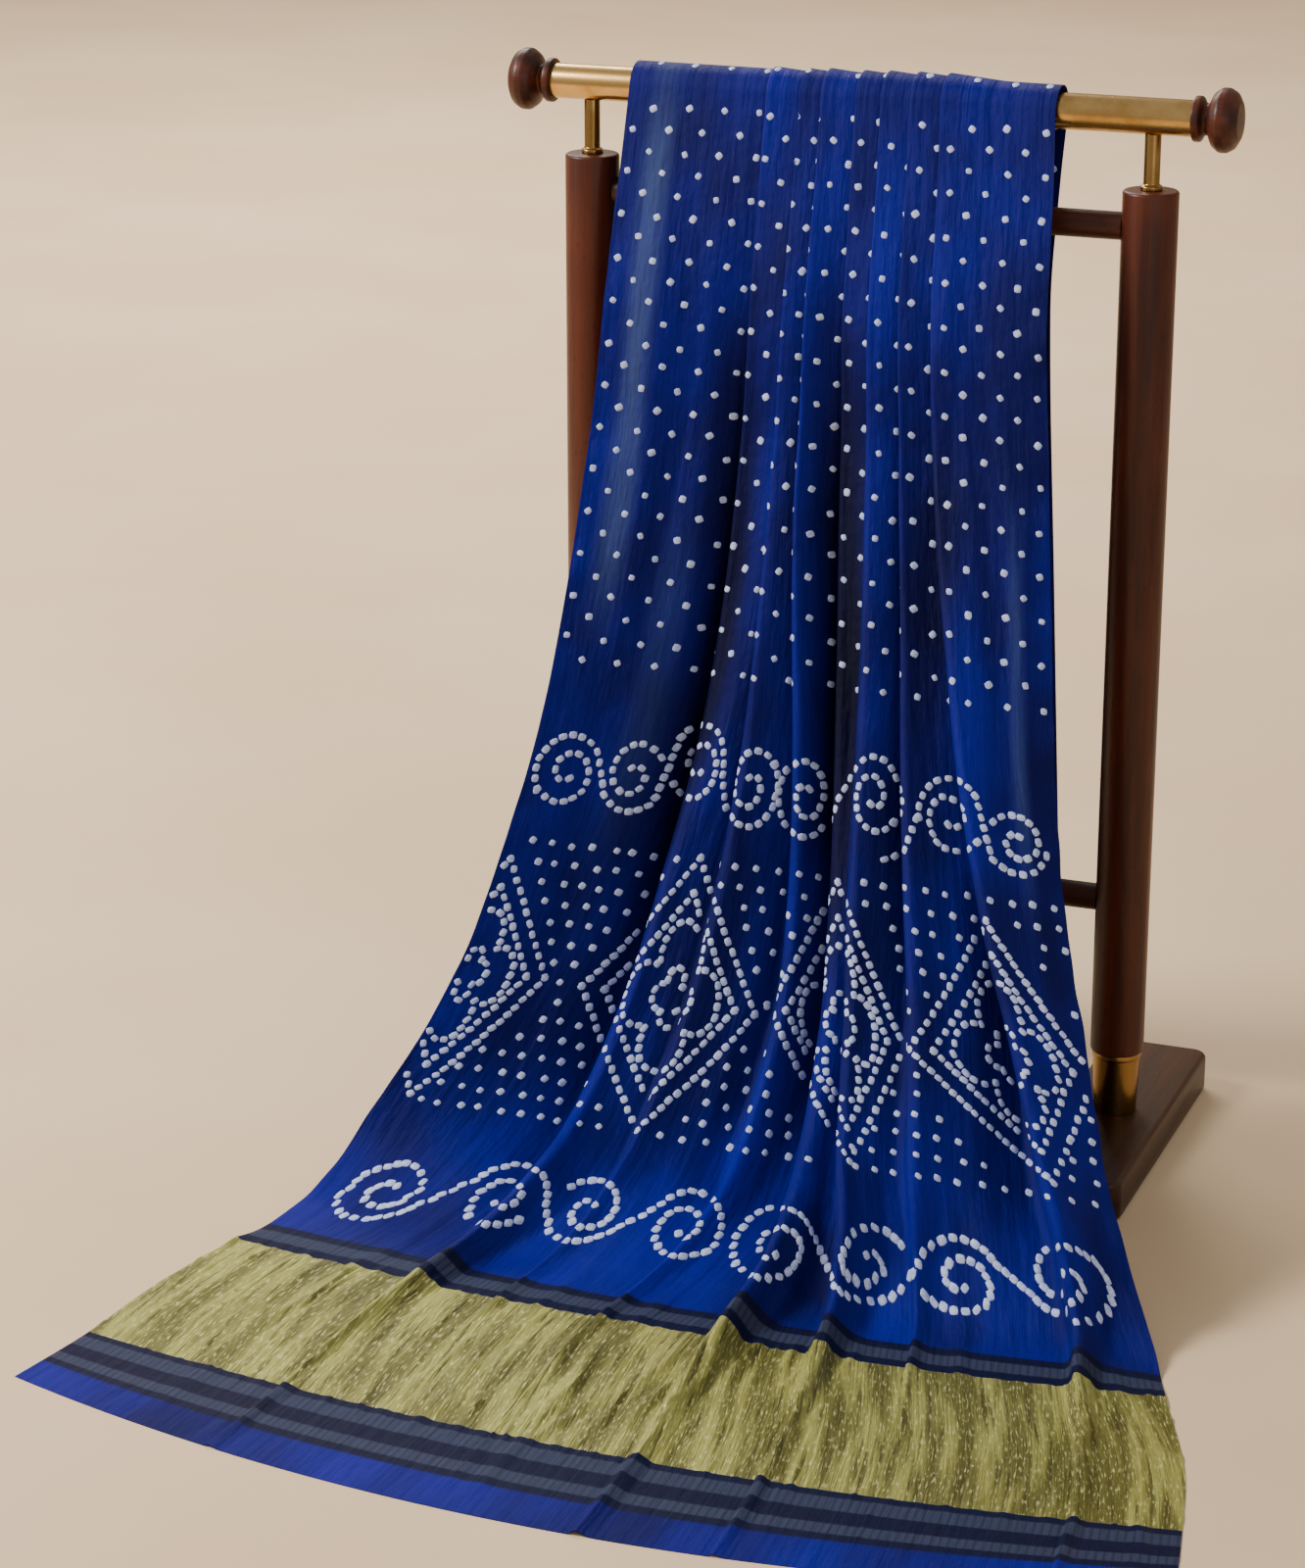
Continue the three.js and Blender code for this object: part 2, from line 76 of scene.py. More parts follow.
def make_camera():
    """The photograph's view: from the right of the front, looking a little down."""
    data = bpy.data.cameras.new("camera")
    data.lens = LENS
    data.sensor_width = SENSOR_WIDTH
    data.clip_end = VIEW_END
    camera = bpy.data.objects.new("camera", data)
    camera.location = stand_place + Vector(EYE) * MM
    camera.rotation_euler = (math.pi / 2 - EYE_FALL, 0, EYE_TURN)
    bpy.context.scene.collection.objects.link(camera)
    bpy.context.scene.camera = camera


make_camera()


# Small helpers for materials: each adds a node to the tree of the sockets that it is given

def feed(tree, made, inputs):
    """Each input of a node gets its value, or a link to another node's output."""
    for key, value in inputs.items():
        if isinstance(value, bpy.types.NodeSocket):
            tree.links.new(value, made.inputs[key])
        else:
            made.inputs[key].default_value = value


def node(tree, kind, inputs=None, **settings):
    made = tree.nodes.new("ShaderNode" + kind)
    for key, value in settings.items():
        setattr(made, key, value)
    feed(tree, made, inputs or {})
    return made


def calc(operation, *values):
    made = node(values[0].id_data, "Math", dict(enumerate(values)), operation=operation)
    return made.outputs[0]


def blend(factor, first, second):
    """first where factor is 0 and second where it is 1."""
    tree = (factor if isinstance(factor, bpy.types.NodeSocket) else first).id_data
    return node(tree, "Mix", {0: factor, 6: first, 7: second}, data_type="RGBA").outputs[2]


def remap(value, low, high, to_low=0.0, to_high=1.0):
    inputs = {"Value": value, "From Min": low, "From Max": high, "To Min": to_low, "To Max": to_high}
    return node(value.id_data, "MapRange", inputs, interpolation_type="SMOOTHSTEP").outputs["Result"]


def noise(vector, scale, detail=2.0, roughness=0.5):
    inputs = {"Vector": vector, "Scale": scale, "Detail": detail, "Roughness": roughness}
    return node(vector.id_data, "TexNoise", inputs).outputs["Fac"]


def bands(vector, scale, distortion, direction):
    inputs = {"Vector": vector, "Scale": scale, "Distortion": distortion}
    made = node(vector.id_data, "TexWave", inputs, wave_type="BANDS", bands_direction=direction)
    return made.outputs["Fac"]


def stretched(vector, scale, turn=(0, 0, 0)):
    inputs = {"Vector": vector, "Scale": scale, "Rotation": turn}
    return node(vector.id_data, "Mapping", inputs).outputs["Vector"]


def bump(height, depth, strength=1.0, below=None):
    inputs = {"Height": height, "Distance": depth, "Strength": strength}
    if below is not None:
        inputs["Normal"] = below
    return node(height.id_data, "Bump", inputs).outputs["Normal"]


def new_material(name):
    material = bpy.data.materials.new(name)
    material.use_nodes = True
    tree = material.node_tree
    return material, tree, tree.nodes["Principled BSDF"]


def colour(red, green, blue):
    """A colour given as it looks on screen, 0 to 255, as the linear value that a shader takes."""
    def linear(value):
        share = value / 255
        return share / 12.92 if share <= 0.04045 else ((share + 0.055) / 1.055) ** 2.4
    return (linear(red), linear(green), linear(blue), 1)


# The cloth's sizes, in millimetres, as in the frame. Pairs are lengths down the cloth between which
# something sets in, and shares are of a panel's width or of a pleat's depth.

RAIL_HEIGHT = 1073.2
RAIL_RADIUS = 17.6
CLOTH_WIDTH = 1110
FRAME_WALL = 1
RAIL_CLEARANCE = 0.5
WRAP_RADIUS = RAIL_RADIUS + RAIL_CLEARANCE + FRAME_WALL / 2
FLOOR_TOUCH = -540
BACK_LEAN = 0.035
BACK_LENGTH = 950
STACKED_ANGLE = 0.09
LAP_RAMP = 14
RAMP_SHARE = 0.25
LAP_SHARE = 0.6
STEEPEST = 0.95
BEND_SHARE = 0.9
MEAN_SHIFT = (150, 350)
SETTLE = (980, 1260)
FLOOR_PRESS = 1
EVENED = 9.0
LASTING = (350, 1150)
BODY_END = 640
PALLU_END = 1262
ZARI_END = 1495
CLOTH_END = 1600

# Where the solving of the hang, the tilts and the pleats' depth begins, and its bounds
FIRST_ANGLE = 0.15
CURVE_ROUNDS = 60
CURVE_HALVINGS = 50
CURVE_SCALES = (60.0, 900.0)
TILTS = (-0.5, 1.2)
LOWEST_FLAT_TILT = -0.6
DEPTH_SHARES = (0.02, 1.4)


def table(columns, *rows):
    """One dict for each row, under the names of the columns."""
    return [dict(zip(columns.split(), row)) for row in rows]


# One row for each pleat: where its folded strip lies across the cloth, its depth at the rail,
# the share of that depth that lasts on the floor, and its drift sideways down there
PLEATS = table(
    "across depth lasting drift",
    (220, 50, 1.1, 8),
    (340, 40, 0.3, -6),
    (451, 46, 0.4, 4),
    (600, 60, 1.5, -4),
    (716, 40, 1.6, 6),
    (841, 50, 0.4, -8),
    (971, 49, 1.2, 36),
)

# One row for each station down the front, by cloth length from the rail: the cloth's two edges, how
# far each pleat turns back on itself, the radius of its folds, how far the middle runs ahead of the
# edges, and the share of the width that fine crinkles take up
FRONT = table(
    "length left right turn fold ahead gather",
    (0, -240, 199, 3.14, 0.8, 0, 0),
    (110, -243, 207, 3.13, 1.3, 0, 0),
    (210, -246, 212, 3.1, 2, 0, 0),
    (345, -256, 223, 3.04, 3.4, 0, 0),
    (510, -265, 244, 2.94, 5.5, 0, 0),
    (650, -276, 265, 2.82, 7.5, 0, 0),
    (780, -296, 294, 2.64, 9, 0, 0),
    (900, -318, 332, 2.42, 10, 6, 0),
    (1040, -359, 379, 2.05, 11, 18, 0.01),
    (1140, -398, 424, 1.7, 11, 28, 0.05),
    (1200, -432, 456, 1.45, 11, 34, 0.08),
    (1270, -462, 484, 1.25, 10, 38, 0.1),
    (1390, -488, 530, 1.05, 10, 42, 0.068),
    (1500, -499, 555, 0.95, 10, 52, 0.04),
    (1600, -518, 574, 0.85, 10, 88, 0.01),
)
BACK = table(
    "length left right turn fold ahead gather",
    (0, -240, 199, 3.14, 0.8, 0, 0),
    (90, -242, 188, 3.13, 1.3, 0, 0),
    (210, -244, 179, 3.12, 2, 0, 0),
    (500, -250, 181, 3.06, 4, 0, 0),
    (950, -256, 190, 2.95, 6, 0, 0),
)

# Long soft hollows that run down the front fall with all its layers
HOLLOWS = [
    dict(width=27, stations=table(
        "length across depth", (70, -95, 0), (240, -102, 9), (440, -108, 19), (660, -137, 22),
        (860, -174, 13), (1040, -204, 6), (1180, -230, 0))),
    dict(width=28, stations=table(
        "length across depth", (70, 8, 0), (240, 0, 10), (440, 14, 22), (660, 38, 24),
        (860, 46, 11), (1040, 38, 4), (1180, 30, 0))),
    dict(width=44, stations=table(
        "length across depth", (90, 96, 0), (300, 104, 8), (520, 118, 14), (760, 150, 7),
        (960, 186, 0))),
]

# Creases placed on the front: where each lies across, how far it wanders, where it begins
# and ends down the cloth, how wide it is and how high it stands (troughs are negative)
CREASES = table(
    "across wander start end width height",
    (48, 14, 40, 620, 16, 3.2),
    (96, -10, 90, 560, 13, -2.4),
    (130, 18, 300, 900, 22, 3.6),
    (62, 34, 560, 1060, 20, -3.4),
    (1010, -16, 60, 520, 12, 2.6),
    (1048, 10, 120, 800, 15, -3.0),
    (1082, -8, 380, 960, 11, 3.0),
    (290, -12, 700, 1180, 18, -4.0),
    (398, 16, 760, 1220, 17, 4.2),
    (520, -14, 820, 1240, 20, -3.6),
    (655, 12, 860, 1230, 16, 3.4),
    (776, -10, 800, 1200, 18, -3.8),
    (905, 20, 740, 1210, 20, 3.8),
    (1030, -18, 860, 1240, 18, -3.0),
    (160, -20, 1020, 1600, 12, 2.6),
    (372, 24, 1080, 1560, 9, 2.4),
    (500, -16, 1120, 1600, 10, 3.0),
    (648, 18, 1100, 1520, 8, 2.6),
    (772, -22, 1140, 1600, 11, 2.8),
    (884, 12, 1060, 1500, 8, 2.2),
    (1060, 14, 1100, 1600, 12, 3.0),
)
BACK_CREASES = table(
    "across wander start end width height",
    (60, 20, 40, 900, 18, 3.0),
    (128, -24, 160, 950, 20, -3.4),
    (1046, 14, 80, 860, 14, 2.8),
    (1084, -10, 300, 950, 12, -2.4),
)


# The cloth's form

def smooth_step(low, high, value):
    t = np.clip((value - low) / (high - low), 0, 1)
    return t * t * (3 - 2 * t)


def along(stations, column, lengths):
    """Smooth values of one column of a station table at several lengths."""
    at = np.array([row["length"] for row in stations], float)
    value = np.array([row[column] for row in stations], float)
    last = len(at) - 1
    i = np.searchsorted(at[1:last], lengths, side="left")
    before = np.maximum(i - 1, 0)
    after = np.minimum(i + 2, last)
    step = at[i + 1] - at[i]
    slope_in = (value[i + 1] - value[before]) / (at[i + 1] - at[before])
    slope_out = (value[after] - value[i]) / (at[after] - at[i])
    t = np.clip((lengths - at[i]) / step, 0, 1)
    t2, t3 = t * t, t * t * t
    ends = (2 * t3 - 3 * t2 + 1) * value[i] + (3 * t2 - 2 * t3) * value[i + 1]
    return ends + (t3 - 2 * t2 + t) * step * slope_in + (t3 - t2) * step * slope_out


def solve_falling(height, low, high, like, steps=26):
    """For each station, the root of a falling function between two bounds."""
    low = np.full_like(like, low)
    high = np.full_like(like, high)
    for _ in range(steps):
        middle = (low + high) / 2
        above = height(middle) > 0
        low = np.where(above, middle, low)
        high = np.where(above, high, middle)
    return (low + high) / 2


def hanging_curve():
    """The curve of the front fall: (angle on the rail, scale, length down to the floor)."""
    angle = FIRST_ANGLE
    for _ in range(CURVE_ROUNDS):
        reach = -WRAP_RADIUS * math.cos(angle) - FLOOR_TOUCH
        top_z = RAIL_HEIGHT + WRAP_RADIUS * math.sin(angle) - FRAME_WALL / 2
        low, high = CURVE_SCALES
        for _ in range(CURVE_HALVINGS):
            scale = (low + high) / 2
            if scale * (math.cosh(reach / scale) - 1) > top_z:
                low = scale
            else:
                high = scale
        angle = math.atan(1 / math.sinh(reach / scale))
    return angle, scale, scale * math.sinh(reach / scale)


HANG_ANGLE, HANG_SCALE, HANG_LENGTH = hanging_curve()
WRAP_LENGTH = WRAP_RADIUS * (math.pi - BACK_LEAN - HANG_ANGLE)


def front_path(lengths):
    """Side view of the front fall: y, z and the outward direction at each length."""
    left = HANG_LENGTH - lengths
    u = np.arcsinh(np.maximum(left, 0) / HANG_SCALE)
    slope = np.arctan(np.sinh(u))
    y = FLOOR_TOUCH + np.where(left > 0, HANG_SCALE * u, left)
    z = FRAME_WALL / 2 + HANG_SCALE * (np.cosh(u) - 1)
    return y, z, -np.sin(slope), np.cos(slope)


def rail_path(lengths):
    angle = HANG_ANGLE + lengths / WRAP_RADIUS
    y = -WRAP_RADIUS * np.cos(angle)
    z = RAIL_HEIGHT + WRAP_RADIUS * np.sin(angle)
    return y, z, -np.cos(angle), np.sin(angle)


def back_path(lengths):
    start_y, start_z, _, _ = rail_path(np.array([WRAP_LENGTH]))
    y = start_y + lengths * math.sin(BACK_LEAN)
    z = start_z - lengths * math.cos(BACK_LEAN)
    flat = np.zeros_like(lengths)
    return y, z, flat + math.cos(BACK_LEAN), flat + math.sin(BACK_LEAN)


def fold_line(row, grow, tilt, flat_tilt):
    """The cloth's line across its width, for all stations at once: knots of slope angle."""
    turn = row["turn"]
    strips = []
    for pleat in PLEATS:
        depth = pleat["depth"] * grow * (1 + (pleat["lasting"] - 1) * row["lasting"])
        across = pleat["across"] + pleat["drift"] * row["lasting"]
        bend = np.minimum(row["fold"] * turn, depth * BEND_SHARE)
        strips.append((depth, bend, across - (depth + bend) / 2, across + (depth + bend) / 2))
    nothing = np.zeros_like(turn)
    free, lapped = -flat_tilt + nothing, -tilt + nothing
    at, angle = [], []

    def knot(where, slope):
        at.append(where + nothing)
        angle.append(slope + nothing)

    def panel(before, after):
        begin = before[3] if before else nothing
        end = after[2] if after else nothing + CLOTH_WIDTH
        width = end - begin
        ramp = np.minimum(LAP_RAMP, width * RAMP_SHARE)
        lap_left = np.minimum(before[0], width * LAP_SHARE) if before else nothing
        lap_right = after[0] if after else nothing
        roomy = width > lap_left + lap_right + 2 * ramp
        start = free
        if before:
            fall = before[0] * np.sin(turn) / (lap_left + ramp / 2)
            start = lapped - np.arcsin(np.minimum(fall, STEEPEST)) * row["settled"]
        knot(begin, start)
        if before:
            knot(begin + lap_left, start)
            knot(begin + lap_left + ramp, np.where(roomy, free, lapped))
        if after:
            knot(np.where(roomy, end - lap_right - ramp, end), np.where(roomy, free, lapped))
            knot(np.where(roomy, end - lap_right, end), lapped)
        knot(end, lapped if after else free)

    for i, strip in enumerate(strips):
        panel(strips[i - 1] if i else None, strip)
        knot(strip[2] + strip[1], turn - tilt)
        knot(strip[3] - strip[1], turn - tilt)
    panel(strips[-1], None)
    return np.array(at), np.array(angle), strips


def walked(at, angle):
    """How far across and outwards the line has got at each knot."""
    middle = (angle[1:] + angle[:-1]) / 2
    share = np.sinc((angle[1:] - angle[:-1]) / 2 / np.pi) * np.diff(at, axis=0)
    start = np.zeros((1, at.shape[1]))
    across = np.vstack([start, np.cumsum(share * np.cos(middle), axis=0)])
    out = np.vstack([start, np.cumsum(share * np.sin(middle), axis=0)])
    return across, out


def pleated_lines(stations, lengths, on_stand):
    """The pleated line of every station, level at its ends and as wide as the cloth hangs there."""
    columns_read = ("left", "right", "turn", "fold", "ahead", "gather")
    row = {name: along(stations, name, lengths) for name in columns_read}
    spreads = 0 if on_stand else 1
    row["lasting"] = smooth_step(*LASTING, lengths) * spreads
    row["settled"] = smooth_step(*SETTLE, lengths) * spreads

    def made(grow):
        def end_height(tilt, flat_tilt):
            return walked(*fold_line(row, grow, tilt, flat_tilt)[:2])[1][-1]
        even = solve_falling(lambda t: end_height(t, t), *TILTS, grow)
        flat = solve_falling(lambda t: end_height(STACKED_ANGLE + 0 * t, t),
                             LOWEST_FLAT_TILT, STACKED_ANGLE, grow)
        stacked = (even < STACKED_ANGLE) & (row["settled"] == 0)
        tilt, flat_tilt = np.where(stacked, (STACKED_ANGLE + 0 * flat, flat), even)
        return fold_line(row, grow, tilt, flat_tilt)

    span = row["right"] - row["left"]
    laid_out = span * (1 + row["gather"])
    grow = solve_falling(lambda g: walked(*made(g)[:2])[0][-1] - laid_out, *DEPTH_SHARES, span)
    row["at"], row["angle"], row["strips"] = made(grow)
    row["across"], row["out"] = walked(row["at"], row["angle"])
    row["stretch"] = span / row["across"][-1]
    return row


# How finely a fold, a folded strip and a panel are sampled across
BEND_STEPS = 8
STRIP_STEPS = 4
PANEL_STEP = 5.0


def columns(row):
    """The widths at which every station is sampled: close together round the folds."""
    marks = [pleat["across"] for pleat in PLEATS]
    spacing = np.diff([0] + marks + [CLOTH_WIDTH])
    at = [np.zeros_like(row["left"])]

    def spread(end, steps):
        begin = at[-1]
        at.extend(begin + (end - begin) * i / steps for i in range(1, steps + 1))

    for (_, bend, start, end), room in zip(row["strips"], spacing):
        spread(start, round(room / PANEL_STEP))
        spread(start + bend, BEND_STEPS)
        spread(end - bend, STRIP_STEPS)
        spread(end, BEND_STEPS)
    spread(CLOTH_WIDTH + 0 * row["left"], round(spacing[-1] / PANEL_STEP))
    return np.array(at).T


# How blunt a crease's ends are, how far it bows as a share of its wander, and how many bends it has
CREASE_BLUNT = 0.7
CREASE_BOW = 0.35
CREASE_BENDS = 7


def crease_height(creases, width, length):
    """Soft troughs and ridges, as uneven as they are placed."""
    height = np.zeros_like(width)
    for crease in creases:
        share = (length - crease["start"]) / (crease["end"] - crease["start"])
        window = np.clip(4 * share * (1 - share), 0, 1) ** CREASE_BLUNT * ((share > 0) & (share < 1))
        bow = math.sin(crease["across"]) * CREASE_BOW * np.sin(share * CREASE_BENDS)
        middle = crease["across"] + crease["wander"] * (share + bow)
        height += crease["height"] * window * np.exp(-(((width - middle) / crease["width"]) ** 2))
    return height


def hollow_at(across, lengths):
    """How far the hollows set the front fall back, and the slope of that across the cloth."""
    depth = np.zeros_like(across)
    slope = np.zeros_like(across)
    for hollow in HOLLOWS:
        middle = along(hollow["stations"], "across", lengths)[:, None]
        deepest = along(hollow["stations"], "depth", lengths)[:, None]
        away = (across - middle) / hollow["width"]
        here = deepest * np.exp(-away * away)
        depth += here
        slope -= 2 * away * here / hollow["width"]
    return depth, slope


# The selvedges' ripples: their heights, how far they reach in, and where they begin down the cloth
RIGHT_RIPPLE, RIGHT_REACH = 1.5, 16
LEFT_RIPPLE, LEFT_REACH = 0.8, 14
RIPPLES_BEGIN = (20, 220)


def edge_ripple(width, length):
    """The selvedges wave a little, the right one more."""
    right = RIGHT_RIPPLE * np.exp(-(((CLOTH_WIDTH - width) / RIGHT_REACH) ** 2))
    left = LEFT_RIPPLE * np.exp(-((width / LEFT_REACH) ** 2))
    waves = np.sin(length / 15.3) + 0.7 * np.sin(length / 8.7 + 1.3)
    return (right + left) * waves * smooth_step(*RIPPLES_BEGIN, length)


# Spacing, slant and height of the gold band's creases
CRINKLES = [(31.0, 0.12, 2.2), (19.0, -0.05, 1.5), (12.3, 0.17, 1.0), (8.1, 0.08, 0.5)]
CRINKLES_BEGIN = (PALLU_END - 26, PALLU_END + 14)
CRINKLES_FADE = (ZARI_END - 8, ZARI_END + 40)


def zari_crinkle(width, length):
    """Sharp little creases that run down the woven gold band, uneven in length and spacing."""
    band = smooth_step(*CRINKLES_BEGIN, length) * (1 - smooth_step(*CRINKLES_FADE, length))
    down = length - PALLU_END
    bend = 9 * np.sin(width / 61 + down / 53) + 5 * np.sin(width / 23 - down / 31)
    height = np.zeros_like(width)
    for spacing, slant, size in CRINKLES:
        phase = (width + slant * down + bend) / spacing * math.pi
        patch = 0.55 + 0.45 * np.sin(width / (spacing * 2.7) + down / (spacing * 1.9) + spacing)
        height += size * patch * (1 - 1.6 * np.abs(np.sin(phase)))
    return band * height


# The seen cloth's thickness, its sharp edges, its lowest place, and the step of its even grid
SHELL = 0.7
CLOTH_SHARP = math.radians(50)
FLOOR_LIFT = 0.15
GRID_STEP = 0.5

# How far along the cloth a shown spot is looked for, how near in the view it has to be, and how far
# it may move from the grid in the end, across and down
SEARCH = 70
NEAR_ENOUGH = 0.0008
FARTHEST_OFF = 0.0016
PROBE_DOWN = 3
MOST_ACROSS, MOST_DOWN = 4, 6


def edges(length):
    """Where the front's two edges lie at one length."""
    at = np.array([length])
    return along(FRONT, "left", at)[0], along(FRONT, "right", at)[0]


class Sheet:
    """A stretch of cloth as a fine grid of places, with rows down the cloth and columns across it."""

    def __init__(self, stations, path, lengths, creases, on_stand, over_rail=False):
        self.lengths = lengths
        row = pleated_lines(stations, lengths * (0 if over_rail else 1), on_stand)
        self.widths = columns(row)
        knots = row["at"]
        across, out, angle = (np.empty_like(self.widths) for _ in range(3))
        for r in range(len(lengths)):
            w = self.widths[r]
            k = np.clip(np.searchsorted(knots[:, r], w, side="left") - 1, 0, len(knots) - 2)
            begin, end = knots[k, r], knots[k + 1, r]
            first = row["angle"][k, r]
            share = np.where(end > begin, (w - begin) / np.maximum(end - begin, TINY), 0)
            angle[r] = first + (row["angle"][k + 1, r] - first) * share
            piece = np.sinc((angle[r] - first) / 2 / np.pi) * (w - begin)
            across[r] = row["across"][k, r] + piece * np.cos((angle[r] + first) / 2)
            out[r] = row["out"][k, r] + piece * np.sin((angle[r] + first) / 2)
        y, z, normal_y, normal_z = (v[:, None] for v in path(lengths))
        lowest = row["out"].min(axis=0)
        last = np.ones((1, len(lengths)), bool)
        own = np.vstack([np.diff(knots, axis=0) > 0, last])
        mean = (row["out"] * own).sum(axis=0) / own.sum(axis=0)
        hanging = 0 if on_stand else smooth_step(*MEAN_SHIFT, lengths) * (1 - row["settled"])
        shift = lowest + (mean - lowest) * hanging + FLOOR_PRESS * row["settled"]
        if not on_stand:
            near = np.exp(-(((lengths[:, None] - lengths) / EVENED) ** 2))
            shift = near @ shift / near.sum(axis=1)
        x = row["left"][:, None] + across * row["stretch"][:, None]
        self.depth, slope = (0 * x, 0 * x) if on_stand else hollow_at(x, lengths)
        out = out - shift[:, None] - self.depth
        middle = 1 - (2 * self.widths / CLOTH_WIDTH - 1) ** 2
        place = np.stack(
            [x, y + normal_y * out - row["ahead"][:, None] * middle, z + normal_z * out], axis=-1)
        rise = np.sin(angle) - slope * np.cos(angle)
        size = np.hypot(rise, np.cos(angle))
        flat = np.cos(angle) / size
        facing = np.stack([-rise / size, flat * normal_y, flat * normal_z], axis=-1)
        length = np.broadcast_to(lengths[:, None], self.widths.shape)
        lift = crease_height(creases, self.widths, length)
        if not (on_stand or over_rail):
            lift = lift + edge_ripple(self.widths, length) + zari_crinkle(self.widths, length)
        self.place = place + facing * lift[..., None]
        # Crease troughs add to the depth, which the silk darkens as painted shade
        self.depth = self.depth - np.minimum(lift, 0)
        if not on_stand:
            self.place[..., 2] = np.maximum(self.place[..., 2], SHELL / 2 + FLOOR_LIFT)
        self.facing = facing

        # The same rows sampled evenly across, so that any spot on the cloth is found quickly
        self.even = np.arange(0, CLOTH_WIDTH + GRID_STEP / 2, GRID_STEP)
        self.even_place = np.stack(
            [[np.interp(self.even, self.widths[r], self.place[r, :, axis]) for r in range(len(lengths))]
             for axis in range(3)], axis=-1)
        self.even_seen = np.stack(seen(self.even_place))

    def spot(self, width, length):
        """Places on the cloth for arrays of widths and lengths."""
        r = np.clip(np.searchsorted(self.lengths, length) - 1, 0, len(self.lengths) - 2)
        down = np.clip((length - self.lengths[r]) / (self.lengths[r + 1] - self.lengths[r]), 0, 1)
        c = np.clip(width / GRID_STEP, 0, len(self.even) - 1.001)
        k = c.astype(int)
        side = (c - k)[..., None]
        down = down[..., None]
        grid = self.even_place
        upper = grid[r, k] * (1 - side) + grid[r, k + 1] * side
        lower = grid[r + 1, k] * (1 - side) + grid[r + 1, k + 1] * side
        return upper * (1 - down) + lower * down

    def showing(self, share, length):
        """Where a spot of the pattern lies on the layer that shows: (width, length), or nothing.
        The spot is given as the photograph shows it on a smooth cloth, by its share of the way
        from the left edge to the right and its length down."""
        left, right = edges(length)
        y, z, _, _ = front_path(np.array([length]))
        u, v, _ = seen([left + share * (right - left), y[0], z[0]])
        first, last = np.searchsorted(self.lengths, [length - SEARCH, length + SEARCH])
        across, up, away = self.even_seen[:, first:last]
        gap = np.hypot(across - u, up - v)
        if gap.min() > FARTHEST_OFF:
            return None
        near = np.where(gap < gap.min() + NEAR_ENOUGH, away, np.inf)
        r, c = np.unravel_index(np.argmin(near), near.shape)
        w, s = float(self.even[c]), float(self.lengths[first + r])
        here, side, down = (
            np.array(seen(self.spot(np.array([w + dw]), np.array([s + ds]))[0])[:2])
            for dw, ds in ((0, 0), (1, 0), (0, PROBE_DOWN)))
        slopes = np.stack([side - here, (down - here) / PROBE_DOWN], axis=-1)
        step = np.linalg.lstsq(slopes, np.array([u, v]) - here, rcond=None)[0]
        return (w + float(np.clip(step[0], -MOST_ACROSS, MOST_ACROSS)),
                s + float(np.clip(step[1], -MOST_DOWN, MOST_DOWN)))


def rows_between(begin, end, step):
    return np.linspace(begin, end, round((end - begin) / step) + 1)


def to_metres(points):
    return np.asarray(points) * MM + np.array(stand_place)


def mesh_of(bm, name, sharp=None):
    """The finished mesh, smooth apart from edges that are sharper than an angle."""
    mesh = bpy.data.meshes.new(name)
    bm.to_mesh(mesh)
    bm.free()
    mesh.shade_smooth()
    if sharp:
        mesh.set_sharp_from_angle(angle=sharp)
    return mesh


def link(name, mesh, material, replaced=None):
    mesh.materials.append(material)
    piece = bpy.data.objects.new(name, mesh)
    bpy.context.scene.collection.objects.link(piece)
    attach(piece, "root")
    if replaced:
        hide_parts(replaced)
    return piece


def cloth_piece(name, sheet, begin, end, material, slot_name, replaced):
    """A thin closed shell over the sheet's rows between two lengths."""
    keep = np.nonzero((sheet.lengths > begin - MERGED) & (sheet.lengths < end + MERGED))[0]
    facing = sheet.facing[keep]
    places = to_metres(sheet.place[keep] + facing * (SHELL / 2))
    rows, wide = places.shape[:2]
    bm = bmesh.new()
    bmesh.ops.create_grid(bm, x_segments=wide - 1, y_segments=rows - 1, size=1)
    mark = bm.verts.layers.float_vector.new("cloth_place")
    outward = []
    for vert in bm.verts:
        c = round((vert.co.x + 1) / 2 * (wide - 1))
        r = round((1 - vert.co.y) / 2 * (rows - 1))
        row = keep[r]
        # The third value, how deep the place lies in a hollow or crease trough, sets the silk's painted
        # shade
        vert[mark] = Vector((sheet.widths[row, c], sheet.lengths[row], sheet.depth[row, c])) * MM
        vert.co = Vector(places[r, c])
        outward.append(Vector(facing[r, c]))
    bm.normal_update()
    if sum(vert.normal.dot(way) for vert, way in zip(bm.verts, outward)) < 0:
        bmesh.ops.reverse_faces(bm, faces=bm.faces)
    bmesh.ops.solidify(bm, geom=bm.faces[:], thickness=SHELL * MM)
    for vert in bm.verts:
        vert.co.z = max(vert.co.z, FLOOR_LIFT * MM)
    bmesh.ops.recalc_face_normals(bm, faces=bm.faces)
    return link(name, mesh_of(bm, name, CLOTH_SHARP), material, replaced)


# Tied dots: small low lenses in the cloth that show on both faces

DOT_SIDES = 8
DOT_RINGS = 4
DOT_RISE = 0.5
DOT_SQUARENESS = 0.4
PROBE_ASIDE, PROBE_ALONG = 1.0, 2.0
PALE_GAIN = 1.6


def lens_mesh():
    """One unit sphere with few faces, which is moved on to the cloth for each dot."""
    bm = bmesh.new()
    bmesh.ops.create_uvsphere(bm, u_segments=DOT_SIDES, v_segments=DOT_RINGS, radius=1)
    return mesh_of(bm, "lens")


